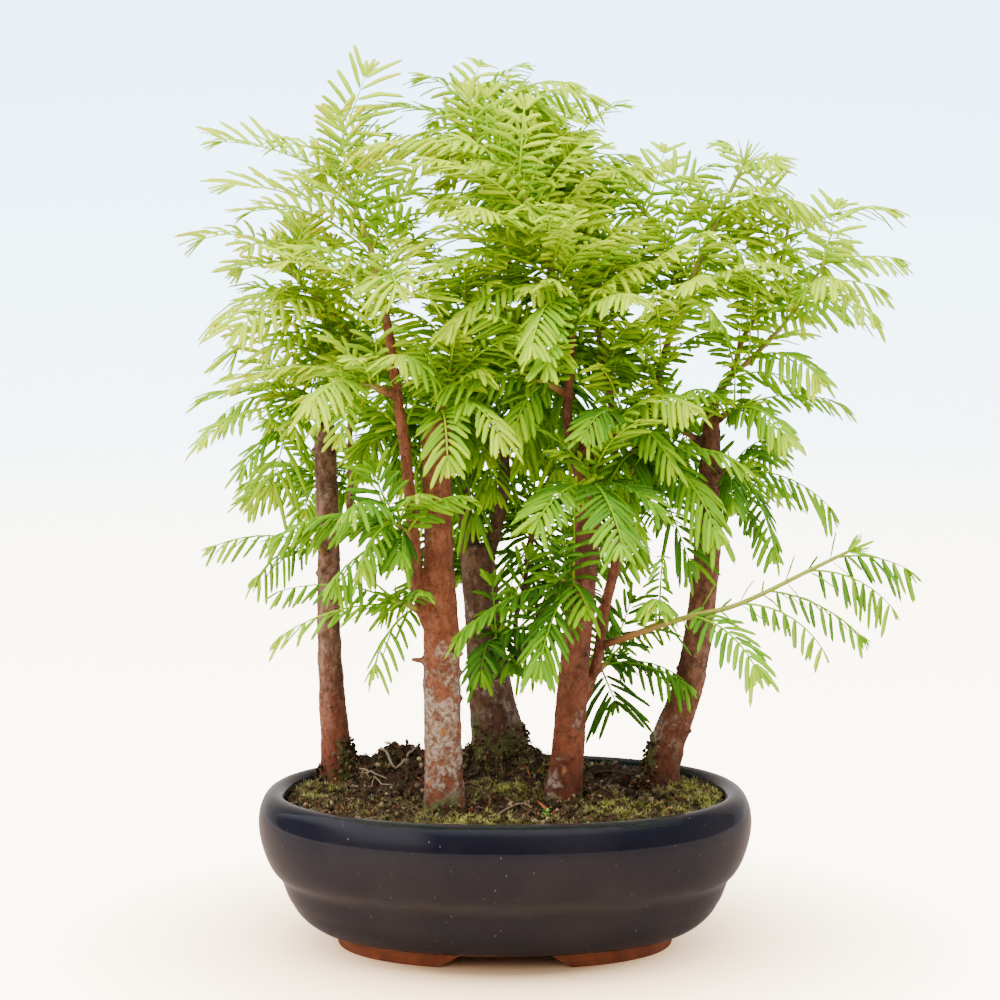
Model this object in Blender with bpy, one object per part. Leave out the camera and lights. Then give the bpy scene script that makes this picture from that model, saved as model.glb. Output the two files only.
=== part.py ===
"""A dawn redwood bonsai forest: five trunks with feathery green shoots, in an oval glazed pot.

Blender 4.5. The lengths in this file are millimetres, with the pot centred on x = y = 0 and standing
on z = 0: X runs to the viewer's right, Y away from the viewer and Z up. Meshes are written in metres.
"""

import math
import random

import bmesh
import bpy
from mathutils import Matrix, Vector, noise
from mathutils.bvhtree import BVHTree

MM = 0.001
GAP = 0.3  # clear space between neighbouring pieces
SEED = 7

# The pot
POT_LENGTH = 185.0
POT_WIDTH = 145.0
POT_SQUARENESS = 2.2  # 2 would be a plain ellipse
POT_SEGMENTS = 30
# Inset from the widest outline, and height: the foot ring, the outer wall with its step, the rolled
# rim, and the inner wall down to the floor.
POT_PROFILE = [
    (38.0, 5.5),
    (38.5, 0.0),
    (29.5, 0.0),
    (28.5, 5.0),
    (21.0, 7.5),
    (14.0, 13.5),
    (10.0, 20.0),
    (8.5, 25.2),
    (5.5, 28.0),
    (2.0, 34.0),
    (0.3, 42.0),
    (0.0, 48.0),
    (1.4, 54.0),
    (4.0, 57.2),
    (7.0, 58.0),
    (10.0, 57.3),
    (12.5, 40.0),
    (18.5, 20.0),
    (33.0, 10.0),
]
FLOOR_TOP = 10.0
FOOT_GAP_BOTTOM = 50.0  # width of the gap between the feet at the table
FOOT_GAP_TOP = 32.0
FOOT_GAP_HEIGHT = 5.2
DRAIN_X = 32.0
DRAIN_RADIUS = 5.5
DRAIN_SIDES = 16
GLAZE = (0.012, 0.014, 0.028)

# The screens over the drain holes
SCREEN_SIDE = 22.0
SCREEN_THICKNESS = 1.2
SCREEN_BAR = 3.0
SCREEN_HOLES = 2  # along each side
SCREEN_BLACK = (0.02, 0.02, 0.02)

# The soil
SOIL_EDGE = 54.0
SOIL_WALL_GAP = 0.45
SOIL_SHARES = (0.9, 0.72, 0.5, 0.26)
SOIL_MOUNDS = [  # centre x and y, half-widths, height
    (-46.0, 36.0, 20.0, 15.0, 12.0),
    (-2.0, 40.0, 24.0, 18.0, 13.5),
    (34.0, 34.0, 22.0, 16.0, 5.0),
    (0.0, -5.0, 70.0, 36.0, 3.0),
]
MOUND_FALL = 0.7
SOIL_BUMPS = 1.6
SOIL_BUMP_GRAIN = 0.09
HOLE_SLACK = 0.4  # round a trunk's foot
SOIL_BROWN = (0.05, 0.06, 0.02)

# The wood. Each row is x, y, z and radius. A trunk's first row is its foot, in a plain hole.
TRUNK_SIDES = 10
BRANCH_SIDES = 5
KNOBS = 0.14  # how far knobs stand out, as a share of a trunk's radius
KNOBS_FROM = 68.0  # below this height a trunk is plainly round, as its hole is
KNOBS_FULL = 82.0
KNOB_GRAIN = Vector((1.4, 1.4, 0.055))
TRUNK_STEP = 19.0
BRANCH_STEP = 19.0
SPUR_SIDES = 4
TRUNKS = {
    "trunk_a": [
        (-64, 24, 38, 7.0),
        (-64, 24, 58, 7.0),
        (-65.5, 24, 73, 5.8),
        (-67.5, 24, 106, 4.7),
        (-67.6, 24, 145, 4.4),
        (-69, 24, 193, 4.3),
    ],
    "trunk_b": [
        (-22, -32, 38, 7.6),
        (-22, -32, 58, 7.6),
        (-22.6, -32, 76, 7.0),
        (-23, -32, 115, 6.7),
        (-24, -32, 151, 5.4),
        (-25, -32, 198, 5.2),
    ],
    "trunk_c": [
        (-2, 38, 38, 11.6),
        (-2, 38, 68, 11.6),
        (-4.5, 38, 81, 9.4),
        (-7.7, 38, 107, 7.6),
        (-11, 38, 146, 6.6),
    ],
    "trunk_d": [
        (21, -15, 38, 7.0),
        (21, -15, 58, 7.0),
        (23, -15, 73, 6.3),
        (25.2, -15, 102, 5.7),
        (29.2, -15, 146, 5.1),
        (32.2, -15, 200, 4.7),
    ],
    "trunk_e": [
        (59.5, 14, 38, 6.9),
        (59.5, 14, 62, 6.9),
        (63, 14, 75, 6.8),
        (70.6, 14, 97, 5.8),
        (75.9, 14, 135, 5.3),
        (77.4, 14, 165, 5.0),
        (78.1, 14, 202, 2.8),
    ],
}
BRANCHES = {
    "trunk_a": [
        [(-66, 24, 148, 1.7), (-60, 23, 158, 1.4), (-59, 22, 184, 1.2), (-59.4, 22, 201, 1.1)],
    ],
    "trunk_b": [
        [(-24, -32, 116, 3.0), (-31, -35, 134, 2.4), (-33, -35, 159, 2.2), (-36, -34, 187, 2.1),
         (-42.4, -30, 233, 1.8)],
        [(-24, -32, 110, 1.6), (-34, -33, 111.5, 0.9)],
        [(-22, -34, 117, 1.9), (-18.5, -41, 120, 1.7)],
        [(-22, -34, 111, 1.8), (-16, -40, 115, 1.6)],
    ],
    "trunk_c": [
        [(-12, 38, 138, 3.8), (-16, 36, 164, 3.0), (-13.5, 34, 187, 2.7), (-3, 32, 220, 2.3),
         (-0.4, 30, 244, 2.0)],
        [(-8, 38, 136, 3.2), (-1, 42, 163, 2.5), (1.2, 42, 190, 2.3), (15.5, 38, 229, 1.9),
         (17.8, 35, 259, 1.6)],
        [(-6, 37, 92, 2.2), (6.6, 38, 103, 1.7), (14, 46, 118, 1.4), (19, 50, 125, 1.3)],
        [(5, 37.5, 101, 1.5), (4.3, 44, 116, 1.2), (7.5, 50, 127, 1.1), (10, 54, 144, 1.0)],
    ],
    "trunk_d": [
        [(30.5, -15, 166, 2.4), (25, -18, 184, 1.9), (22.7, -19, 199, 1.8), (24, -16, 225.5, 1.7)],
        [(25, -14, 86, 2.8), (33.5, -9, 105, 2.1), (37, -6, 126, 2.1), (43.5, 0, 152, 2.0),
         (48.5, 4, 183, 1.9), (56.5, 6, 207, 1.7)],
        [(38, -5, 129, 1.8), (41.5, -8, 153, 1.5), (40.6, -3, 191, 1.4), (39.4, 0, 203, 1.3)],
    ],
    "trunk_e": [],
}
WOOD_COLOURS = {
    "trunk_a": (0.30, 0.105, 0.045),
    "trunk_b": (0.36, 0.19, 0.11),
    "trunk_c": (0.20, 0.12, 0.08),
    "trunk_d": (0.37, 0.13, 0.055),
    "trunk_e": (0.27, 0.12, 0.06),
}

# The leafy shoots. Each names its trunk, and its branch if it goes on from the end of one. Otherwise
# a short woody spur carries it. Its stems are points on the axis, its tips are those of the fronds
# seen from the front, and far is the number of fronds that a rule adds on the far side.
SHOOTS = {
    "shoot_a_top": {
        "wood": "trunk_a",
        "stems": [[(-66.5, 22, 194), (-59, 15, 209), (-57.4, 8, 222), (-61.3, 0, 234),
                   (-75.3, -6, 247), (-82, -8, 258)]],
        "tips": [(-110, -12, 263), (-102, -15, 236), (-97, -35, 232), (-99, -5, 222),
                 (-77, 10, 269)],
        "far": 1,
    },
    "shoot_a_left": {
        "wood": "trunk_a",
        "stems": [[(-70.5, 22, 194), (-77, 14, 202), (-83, 8, 205)]],
        "tips": [(-112, 15, 205), (-109, -20, 191), (-107, 25, 212), (-96, 5, 176)],
        "far": 0,
    },
    "shoot_a_low": {
        "wood": "trunk_a",
        "stems": [[(-69, 17.5, 145), (-71, 13, 148), (-74, 9, 151)]],
        "tips": [(-109, 0, 149), (-94, -18, 140)],
        "far": 0,
    },
    "shoot_a_stem": {
        "wood": "trunk_a",
        "branch": 0,
        "stems": [[(-59.4, 22, 201), (-59.6, 22, 208), (-61, 23, 214)]],
        "tips": [(-41, 10, 192), (-82, 44, 214), (-56, 50, 226)],
        "far": 0,
    },
    "shoot_a_back": {
        "wood": "trunk_a",
        "stems": [[(-68, 30.5, 166), (-70, 37, 170), (-73, 44, 173)]],
        "tips": [(-95, 62, 176), (-68, 80, 170), (-100, 45, 164)],
        "far": 1,
    },
    "shoot_b_leader": {
        "wood": "trunk_b",
        "branch": 0,
        "stems": [[(-42.4, -30, 233), (-47, -28, 255), (-54, -24, 274), (-62, -18, 291)]],
        "tips": [(-50, -22, 323), (-101, -30, 297), (-95, -45, 281), (-93, -10, 273),
                 (-29, -35, 285), (-75, -60, 254), (-26, -55, 241), (-54, -75, 231),
                 (-66, 20, 241)],
        "far": 2,
    },
    "shoot_b_low": {
        "wood": "trunk_b",
        "stems": [[(-31.5, -37.5, 130), (-35, -42, 132.5), (-39, -46, 134)]],
        "tips": [(-81, -40, 137), (-80, -60, 131), (-46, -60, 113)],
        "far": 0,
    },
    "shoot_b_mid": {
        "wood": "trunk_b",
        "stems": [[(-34, -38, 156), (-37, -43, 160), (-41, -47, 163)]],
        "tips": [(-60, -60, 143), (-80, -44, 158), (-53, -76, 170)],
        "far": 0,
    },
    "shoot_b_left": {
        "wood": "trunk_b",
        "stems": [[(-42.5, -34.5, 208), (-48, -37, 210.5), (-54, -40, 211)]],
        "tips": [(-92, -52, 212), (-66, -78, 206), (-84, -26, 222)],
        "far": 0,
    },
    "shoot_b_back": {
        "wood": "trunk_b",
        "stems": [[(-36, -29, 191), (-37, -23, 194), (-39, -16, 196)]],
        "tips": [(-62, 6, 199), (-28, 18, 200), (-70, -20, 207)],
        "far": 0,
    },
    "shoot_b_top": {
        "wood": "trunk_b",
        "stems": [[(-23.4, -31, 199.5), (-20, -28, 212), (-15.5, -26, 230), (-13.4, -24, 246)]],
        "tips": [(-20, -65, 186), (-2, -62, 194), (-38, -66, 222), (9, -50, 230)],
        "far": 1,
    },
    "shoot_c_left": {
        "wood": "trunk_c",
        "branch": 0,
        "stems": [[(-0.4, 30, 244), (2.7, 28, 264), (7.3, 26, 283), (9.5, 22, 308)]],
        "tips": [(21, 45, 319), (-14, 50, 300), (34, 60, 276), (-26, 60, 280), (20, -10, 300)],
        "far": 2,
    },
    "shoot_c_right": {
        "wood": "trunk_c",
        "branch": 1,
        "stems": [[(17.8, 35, 259), (20.8, 33, 276), (24, 30, 293)]],
        "tips": [(42, 25, 314), (53, 12, 292), (52, 50, 299), (34, -12, 270)],
        "far": 2,
    },
    "shoot_c_low": {
        "wood": "trunk_c",
        "branch": 2,
        "stems": [[(19, 50, 125), (22, 53, 129), (24, 57, 132)]],
        "tips": [(16, 92, 136), (44, 74, 108), (50, 66, 138)],
        "far": 0,
    },
    "shoot_c_front": {
        "wood": "trunk_c",
        "stems": [[(-5, 30, 106), (-4, 24, 110), (-3, 19, 112)]],
        "tips": [(-9, -8, 103), (14, -2, 118)],
        "far": 0,
    },
    "shoot_c_mid_left": {
        "wood": "trunk_c",
        "stems": [[(-15, 28.5, 191), (-17, 23, 194), (-20, 17, 195)]],
        "tips": [(-48, -4, 198), (-24, -22, 188), (-52, 20, 208), (-8, -12, 206)],
        "far": 0,
    },
    "shoot_c_mid_right": {
        "wood": "trunk_c",
        "stems": [[(10, 35.5, 212), (13, 31, 214), (17, 26, 215)]],
        "tips": [(44, 6, 212), (22, -14, 219), (54, 30, 217)],
        "far": 0,
    },
    "shoot_c_twig": {
        "wood": "trunk_c",
        "branch": 3,
        "stems": [[(10, 54, 144), (11, 56, 149), (12, 60, 154)]],
        "tips": [(-10, 84, 158), (36, 80, 160), (12, 72, 180)],
        "far": 0,
    },
    "shoot_c_back": {
        "wood": "trunk_c",
        "stems": [[(-11, 48, 127), (-14, 54, 132), (-20, 60, 136)]],
        "tips": [(-48, 76, 140), (-22, 92, 128), (-50, 56, 128)],
        "far": 1,
    },
    "shoot_c_back_high": {
        "wood": "trunk_c",
        "stems": [[(-10.5, 36, 199), (-16, 44, 205), (-22, 52, 211)]],
        "tips": [(-50, 60, 214), (-28, 84, 206), (-44, 40, 232), (-14, 70, 236)],
        "far": 1,
    },
    "shoot_c_back_mid": {
        "wood": "trunk_c",
        "stems": [[(5.5, 44, 200), (10, 53, 206), (14, 62, 211)]],
        "tips": [(40, 72, 208), (8, 94, 204), (24, 80, 236)],
        "far": 1,
    },
    "shoot_d_leader": {
        "wood": "trunk_d",
        "branch": 0,
        "stems": [
            [(24, -16, 225.5), (23, -17, 235), (14, -24, 257), (7, -27, 277), (-5, -20, 293),
             (-17, -12, 305)],
            [(-11.5, -15.5, 299.5), (-9.9, -11, 306), (-4, -8, 312), (3.7, -6, 316)],
        ],
        "tips": [(-48, -20, 309), (-52, -38, 294), (-25, -60, 289), (-13, -68, 271),
                 (33, -30, 295), (-30, -45, 267), (-24, -55, 251), (44, -30, 261),
                 (44, -60, 242), (-24, -60, 230), (28, -85, 211), (6, -80, 210),
                 (32, 2, 316), (-28, -14, 324), (4, -4, 328)],
        "far": 1,
    },
    "shoot_d_front": {
        "wood": "trunk_d",
        "stems": [[(30.5, -20.5, 172), (31, -27, 175), (31, -33, 176)]],
        "tips": [(11, -68, 165), (34, -76, 150)],
        "far": 0,
    },
    "shoot_d_mid_left": {
        "wood": "trunk_d",
        "stems": [[(20, -21.5, 208), (15.5, -25, 210.5), (11, -29, 212)]],
        "tips": [(-24, -42, 210), (-6, -62, 222), (-18, -14, 227)],
        "far": 0,
    },
    "shoot_d_mid_front": {
        "wood": "trunk_d",
        "stems": [[(41.5, -8.5, 194), (42, -14, 196.5), (43, -20, 198)]],
        "tips": [(28, -56, 195), (64, -48, 204)],
        "far": 0,
    },
    "shoot_d_mid": {
        "wood": "trunk_d",
        "branch": 2,
        "stems": [[(39.4, 0, 203), (37, 0, 218), (34, -2, 233), (35.3, 0, 248),
                   (37.6, 2, 263)]],
        "tips": [(66, -30, 262), (10, 14, 262), (40, 34, 246), (64, 12, 228), (8, -6, 232)],
        "far": 1,
    },
    "shoot_d_tall": {
        "wood": "trunk_d",
        "branch": 1,
        "stems": [
            [(56.5, 6, 207), (61, 4, 226), (72, -2, 256), (80.5, -6, 276), (87, -8, 290)],
            [(62, 3.5, 229), (64.5, 7, 246), (57, 10, 267), (44, 16, 282)],
        ],
        "tips": [(105, -12, 304), (110, -25, 279), (75, 0, 315), (95, -40, 254), (102, 12, 269),
                 (53, -40, 244), (68, -50, 231), (46, -30, 225), (22, 20, 296), (44, 40, 290)],
        "far": 2,
    },
    "shoot_d_low_right": {
        "wood": "trunk_d",
        "stems": [[(37.5, -9, 113.5), (44, -24, 118), (52, -36, 123), (66, -47, 129),
                   (83, -51, 134), (110, -50, 147), (121, -48, 152)]],
        "tips": [(86, -75, 115), (111, -62, 119), (124, -62, 124), (136, -54, 133),
                 (142, -48, 146), (52, -68, 137)],
        "far": 1,
    },
    "shoot_d_low": {
        "wood": "trunk_d",
        "stems": [[(35, -5.5, 103.5), (38, 0, 105), (42, 4, 106)]],
        "tips": [(68, -8, 98), (47, 8, 77), (64, 24, 113)],
        "far": 0,
    },
    "shoot_d_low_left": {
        "wood": "trunk_d",
        "stems": [[(26, -22.3, 137), (23.5, -27, 139), (20, -31, 140)]],
        "tips": [(-16, -58, 124), (12, -62, 114)],
        "far": 0,
    },
    "shoot_d_fan": {
        "wood": "trunk_d",
        "stems": [[(49.5, 1.5, 184), (52, -5, 185), (55, -11, 184)]],
        "tips": [(75, -45, 159), (68, -10, 144), (84, -26, 182)],
        "far": 0,
    },
    "shoot_d_back": {
        "wood": "trunk_d",
        "stems": [[(44, 4.8, 156), (44, 12, 160), (42, 21, 165)]],
        "tips": [(38, 60, 162), (62, 44, 156), (18, 40, 168)],
        "far": 1,
    },
    "shoot_e_top": {
        "wood": "trunk_e",
        "stems": [
            [(78.5, 14, 203.5), (86, 12, 214), (89, 10, 226), (100, 4, 246), (105, -2, 270)],
            [(85.5, 11.5, 213), (92, 6, 219), (104, -2, 233), (117, -8, 254)],
        ],
        "tips": [(121, -6, 290), (138, -14, 276), (82, -20, 262), (70, -34, 240),
                 (118, -40, 248), (142, -16, 256), (132, -30, 236), (113, 28, 228),
                 (112, -28, 214)],
        "far": 3,
    },
    "shoot_e_low": {
        "wood": "trunk_e",
        "stems": [[(81.5, 9.3, 197), (84.5, 5.5, 199.5), (88, 2, 201)]],
        "tips": [(126, 8, 202), (114, -26, 192), (66, -26, 208)],
        "far": 0,
    },
    "shoot_e_mid": {
        "wood": "trunk_e",
        "stems": [[(82, 8, 175.5), (85, 5.5, 177), (88, 4, 178)]],
        "tips": [(122, 2, 163), (98, -24, 150), (104, 28, 184)],
        "far": 0,
    },
    "shoot_e_left": {
        "wood": "trunk_e",
        "stems": [[(72, 16.5, 188.5), (68, 18, 191), (63, 21, 193)]],
        "tips": [(32, 44, 197), (58, 58, 188), (52, -8, 190)],
        "far": 0,
    },
    "shoot_e_back": {
        "wood": "trunk_e",
        "stems": [[(77.5, 21.5, 158), (79, 27, 163), (83, 35, 168)]],
        "tips": [(110, 56, 166), (78, 74, 160), (60, 58, 176)],
        "far": 1,
    },
}
LEAF_GREEN = (0.19, 0.36, 0.035)
SPUR_RADIUS = 1.7
SPUR_FLARE = 1.1
SPUR_LENGTH = 6.0
STEM_RADIUS = 1.5
STEM_TIP_RADIUS = 0.9
SIDE_STEM_RADIUS = 1.1
STEM_SIDES = 4
STEM_STEP = 14.0

# The fronds
FROND_THICKNESS = 0.8
RIB_HALF_WIDTH = 0.65
RIB_STEP = 0.02  # the share of a rib over which its direction is taken
NEEDLE_LENGTH = 10.5
NEEDLE_LEAST = 0.62  # the share of that length at a frond's foot
NEEDLE_SWELL = 0.42
FIRST_LEAFLET = 4.0  # from the root, which is on the stem's axis
LAST_LEAFLET = 0.9  # as a share of the frond's length
LEAFLET_MIDDLE = 0.45
PAIR_SPACING = 9.5
FEWEST_PAIRS = 3
SWEEP_FOOT = 62.0  # degrees between a leaflet and its rib
SWEEP_TIP = 32.0
DROOP = 0.22
ARCHES = (0.08, 0.15)  # the rise of a frond's rib as a share of its length
ROLL = 24.0  # most degrees that a frond is turned on its rib
UPRIGHT = 0.85
LEAVING_ANGLE = 52.0  # degrees between a frond and the stem it grows on
SHORTEST_FROND = 26.0
LONGEST_FROND = 54.0
ROOT_SPACING = 2.2
ROOT_STEP = 1.5
FAR_LENGTHS = (34.0, 48.0)
FAR_FROM = 0.2  # far fronds grow between these shares of a stem
FAR_TO = 0.9
FAR_HEADINGS = ((-1.0, 1.0), (0.3, 1.0), (-0.4, 0.3))  # in x, y and z
LOWEST_NEEDLE = 74.0  # nothing hangs into the moss
TURNS = (0, 7, -7, 14, -14, 21, -21, 29, -29, 38, -38, 50, -50)
PITCHES = (0, 9, -9, 18, -18)
CLEARANCE = 0.45
# What a frond's place costs: a degree away from the leaving angle, a millimetre too long or too
# short, a neighbour's root too near, a crossing with its own shoot's fronds, a degree turned.
COST_LONG, COST_SHORT, COST_ROOT = 4.0, 3.0, 25.0
COST_CROSSING, COST_TURN, COST_PITCH = 1.5, 0.3, 0.4


def clear_scene():
    for thing in list(bpy.data.objects):
        bpy.data.objects.remove(thing, do_unlink=True)


def material(name, colour, roughness):
    made = bpy.data.materials.new(name)
    made.use_nodes = True
    shader = made.node_tree.nodes["Principled BSDF"]
    shader.inputs["Base Color"].default_value = (*colour, 1.0)
    shader.inputs["Roughness"].default_value = roughness
    shader.inputs["Metallic"].default_value = 0.0
    return made


def mesh_object(name, vertices, faces, finish=None):
    """A new object from points in millimetres, with its faces turned outwards."""
    mesh = bpy.data.meshes.new(name)
    mesh.from_pydata([Vector(v) * MM for v in vertices], [], faces)
    shell = bmesh.new()
    shell.from_mesh(mesh)
    bmesh.ops.recalc_face_normals(shell, faces=shell.faces)
    shell.to_mesh(mesh)
    shell.free()
    made = bpy.data.objects.new(name, mesh)
    bpy.context.scene.collection.objects.link(made)
    if finish:
        mesh.materials.append(finish)
    return made


def shade_round(made, sharp_from):
    """Shades smooth, except along edges sharper than this many degrees."""
    made.data.shade_smooth()
    made.data.set_sharp_from_angle(angle=math.radians(sharp_from))


def boolean(target, pieces, operation):
    """Joins the pieces to the target, or cuts them from it."""
    group = bpy.data.collections.new(target.name + "_pieces")
    bpy.context.scene.collection.children.link(group)
    for piece in pieces:
        bpy.context.scene.collection.objects.unlink(piece)
        group.objects.link(piece)
    step = target.modifiers.new("join", "BOOLEAN")
    step.operation = operation
    step.operand_type = "COLLECTION"
    step.collection = group
    step.solver = "EXACT"
    with bpy.context.temp_override(object=target):
        bpy.ops.object.modifier_apply(modifier=step.name)
    for piece in list(group.objects):
        bpy.data.objects.remove(piece, do_unlink=True)
    bpy.data.collections.remove(group)


def oval(inset):
    """The pot's outline moved inwards, as x and y of points round it."""
    points = []
    for k in range(POT_SEGMENTS):
        angle = 2 * math.pi * k / POT_SEGMENTS
        c, s = math.cos(angle), math.sin(angle)
        x = math.copysign(abs(c) ** (2 / POT_SQUARENESS), c) * (POT_LENGTH / 2 - inset)
        y = math.copysign(abs(s) ** (2 / POT_SQUARENESS), s) * (POT_WIDTH / 2 - inset)
        points.append((x, y))
    return points


def ring_skin(rings):
    """Vertices and faces of a closed skin over rings of equal count, with both ends capped."""
    count = len(rings[0])
    vertices = [point for ring in rings for point in ring]
    faces = []
    for level in range(len(rings) - 1):
        for k in range(count):
            a, b = level * count + k, level * count + (k + 1) % count
            faces.append((a, b, b + count, a + count))
    faces.append(tuple(reversed(range(count))))
    faces.append(tuple(range((len(rings) - 1) * count, len(rings) * count)))
    return vertices, faces


def cylinder(name, x, y, low, high, radius, sides):
    rings = []
    for z in (low, high):
        rings.append([
            (x + radius * math.cos(2 * math.pi * k / sides),
             y + radius * math.sin(2 * math.pi * k / sides), z)
            for k in range(sides)
        ])
    return mesh_object(name, *ring_skin(rings))


def block(name, low, high):
    rings = []
    for z in (low[2], high[2]):
        rings.append([(low[0], low[1], z), (high[0], low[1], z), (high[0], high[1], z),
                      (low[0], high[1], z)])
    return mesh_object(name, *ring_skin(rings))


def foot_gap():
    """The slanted-ended channel that parts the foot ring at the front and at the back."""
    ends = []
    for y in (-POT_WIDTH, POT_WIDTH):
        bottom = FOOT_GAP_BOTTOM / 2 + (FOOT_GAP_BOTTOM - FOOT_GAP_TOP) / 2 / FOOT_GAP_HEIGHT
        top = FOOT_GAP_TOP / 2
        ends.append([(-bottom, y, -1.0), (bottom, y, -1.0), (top, y, FOOT_GAP_HEIGHT),
                     (-top, y, FOOT_GAP_HEIGHT)])
    return mesh_object("foot_gap", *ring_skin(ends))


def make_pot():
    rings = [[(x, y, z) for x, y in oval(inset)] for inset, z in POT_PROFILE]
    pot = mesh_object("pot", *ring_skin(rings), material("glaze", GLAZE, 0.16))
    cutters = [foot_gap()]
    for x in (-DRAIN_X, DRAIN_X):
        cutters.append(cylinder("drain", x, 0, -1, FLOOR_TOP + 1, DRAIN_RADIUS, DRAIN_SIDES))
    boolean(pot, cutters, "DIFFERENCE")
    shade_round(pot, 40)
    return pot


def make_screen(name, x):
    """A flat square screen: a plate with a square grid of holes."""
    low, high = FLOOR_TOP + GAP, FLOOR_TOP + GAP + SCREEN_THICKNESS
    half = SCREEN_SIDE / 2
    plate = block(name, (x - half, -half, low), (x + half, half, high))
    plate.data.materials.append(material(name, SCREEN_BLACK, 0.5))
    pitch = (SCREEN_SIDE - SCREEN_BAR) / SCREEN_HOLES
    holes = []
    for i in range(SCREEN_HOLES):
        for j in range(SCREEN_HOLES):
            corner_x = x - half + SCREEN_BAR + i * pitch
            corner_y = -half + SCREEN_BAR + j * pitch
            side = pitch - SCREEN_BAR
            holes.append(block("mesh_hole", (corner_x, corner_y, low - 1),
                               (corner_x + side, corner_y + side, high + 1)))
    boolean(plate, holes, "DIFFERENCE")
    return plate


def inner_inset(z):
    """How far the pot's inner wall lies inside the widest outline at a height."""
    wall = POT_PROFILE[-4:]
    for (inset_a, z_a), (inset_b, z_b) in zip(wall, wall[1:]):
        if z >= z_b:
            return inset_a + (inset_b - inset_a) * (z_a - z) / (z_a - z_b)
    return wall[-1][0]


def soil_height(x, y):
    """The moss surface: low at the rim, with a mound at the back round trunk c."""
    across, deep = POT_LENGTH / 2 - inner_inset(SOIL_EDGE), POT_WIDTH / 2 - inner_inset(SOIL_EDGE)
    share = min(1.0, (abs(x) / across) ** POT_SQUARENESS + (abs(y) / deep) ** POT_SQUARENESS)
    height = 0.0
    for centre_x, centre_y, half_x, half_y, top in SOIL_MOUNDS:
        reach = ((x - centre_x) / half_x) ** 2 + ((y - centre_y) / half_y) ** 2
        height = max(height, top * math.exp(-reach * MOUND_FALL))
    rough = noise.noise(Vector((x, y, 0)) * SOIL_BUMP_GRAIN) * SOIL_BUMPS
    return SOIL_EDGE + (height + rough) * (1 - share ** 3)


def make_soil():
    rings = []
    for z in (FLOOR_TOP + GAP, POT_PROFILE[-2][1], POT_PROFILE[-3][1], SOIL_EDGE):
        inset = inner_inset(z) + SOIL_WALL_GAP
        rings.append([(x, y, z) for x, y in oval(inset)])
    edge = rings[-1]
    for share in SOIL_SHARES:
        rings.append([(x * share, y * share, soil_height(x * share, y * share))
                      for x, y, _ in edge])
    vertices, faces = ring_skin(rings)
    faces.pop()  # the cap, which rises to a point in the middle instead
    last = len(vertices) - POT_SEGMENTS
    vertices.append((0, 0, soil_height(0, 0)))
    for k in range(POT_SEGMENTS):
        faces.append((last + k, last + (k + 1) % POT_SEGMENTS, len(vertices) - 1))
    soil = mesh_object("soil", vertices, faces, material("soil", SOIL_BROWN, 0.95))
    cutters = []
    for name, knots in TRUNKS.items():
        x, y, z, radius = knots[0]
        cutters.append(cylinder(name + "_hole", x, y, z - GAP, POT_WIDTH, radius + HOLE_SLACK,
                                TRUNK_SIDES))
    for x in (-DRAIN_X, DRAIN_X):
        half = SCREEN_SIDE / 2 + GAP
        top = FLOOR_TOP + SCREEN_THICKNESS + 2 * GAP
        cutters.append(block("screen_pocket", (x - half, -half, 0), (x + half, half, top)))
    boolean(soil, cutters, "DIFFERENCE")
    shade_round(soil, 50)
    return soil


def smooth_path(knots, step):
    """Rows of x, y, z and radius about a step apart, on a smooth curve through the knots."""
    rows = [Vector(knot) for knot in knots]
    rows = [2 * rows[0] - rows[1]] + rows + [2 * rows[-1] - rows[-2]]
    path = []
    for before, start, end, after in zip(rows, rows[1:], rows[2:], rows[3:]):
        pieces = max(1, round((end - start).length / step))
        for k in range(pieces):
            t = k / pieces
            path.append(0.5 * (2 * start + (end - before) * t
                               + (2 * before - 5 * start + 4 * end - after) * t * t
                               + (3 * start - before - 3 * end + after) * t * t * t))
    return path + [rows[-2]]


def tapered(points, first, last):
    """Stem points with a radius that falls evenly from the first to the last."""
    most = len(points) - 1
    return [(*point, first + (last - first) * k / most) for k, point in enumerate(points)]


def directions(path):
    """The direction of travel at each row of a path."""
    points = [row.to_3d() for row in path]
    found = []
    for k in range(len(points)):
        ahead, behind = points[min(k + 1, len(points) - 1)], points[max(k - 1, 0)]
        found.append((ahead - behind).normalized())
    return found


def tube(path, sides, knobs=0.0):
    """Vertices and faces of a closed round bar along a path, with flat ends."""
    along = directions(path)
    side = along[0].orthogonal().normalized()
    if abs(along[0].z) > 0.99:
        side = Vector((1, 0, 0))
    rings = []
    for row, tangent in zip(path, along):
        side = (side - tangent * side.dot(tangent)).normalized()
        other = tangent.cross(side)
        knobbly = knobs * min(1.0, max(0.0, (row.z - KNOBS_FROM) / (KNOBS_FULL - KNOBS_FROM)))
        ring = []
        for k in range(sides):
            angle = 2 * math.pi * k / sides
            spoke = side * math.cos(angle) + other * math.sin(angle)
            bump = noise.noise(Vector((spoke.x, spoke.y, row.z)) * KNOB_GRAIN)
            ring.append(row.to_3d() + spoke * row.w * (1 + knobbly * bump))
        rings.append(ring)
    return ring_skin(rings)


def trunk_path(name):
    """The trunk's axis: plumb in its hole, then along its own curve."""
    knots = TRUNKS[name]
    return [Vector(knots[0])] + smooth_path(knots[1:], TRUNK_STEP)


def shoot_stems(shoot):
    """The shoot's stems as smooth paths; the first starts just clear of the wood."""
    stems = []
    for number, points in enumerate(shoot["stems"]):
        rows = tapered(points, SIDE_STEM_RADIUS if number else STEM_RADIUS, STEM_TIP_RADIUS)
        stems.append(smooth_path(rows, STEM_STEP))
    first = stems[0]
    start = first[0].to_3d()
    away = (first[1].to_3d() - start).normalized()
    first[0] = Vector((*(start + away * GAP), STEM_RADIUS))
    return stems


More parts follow.
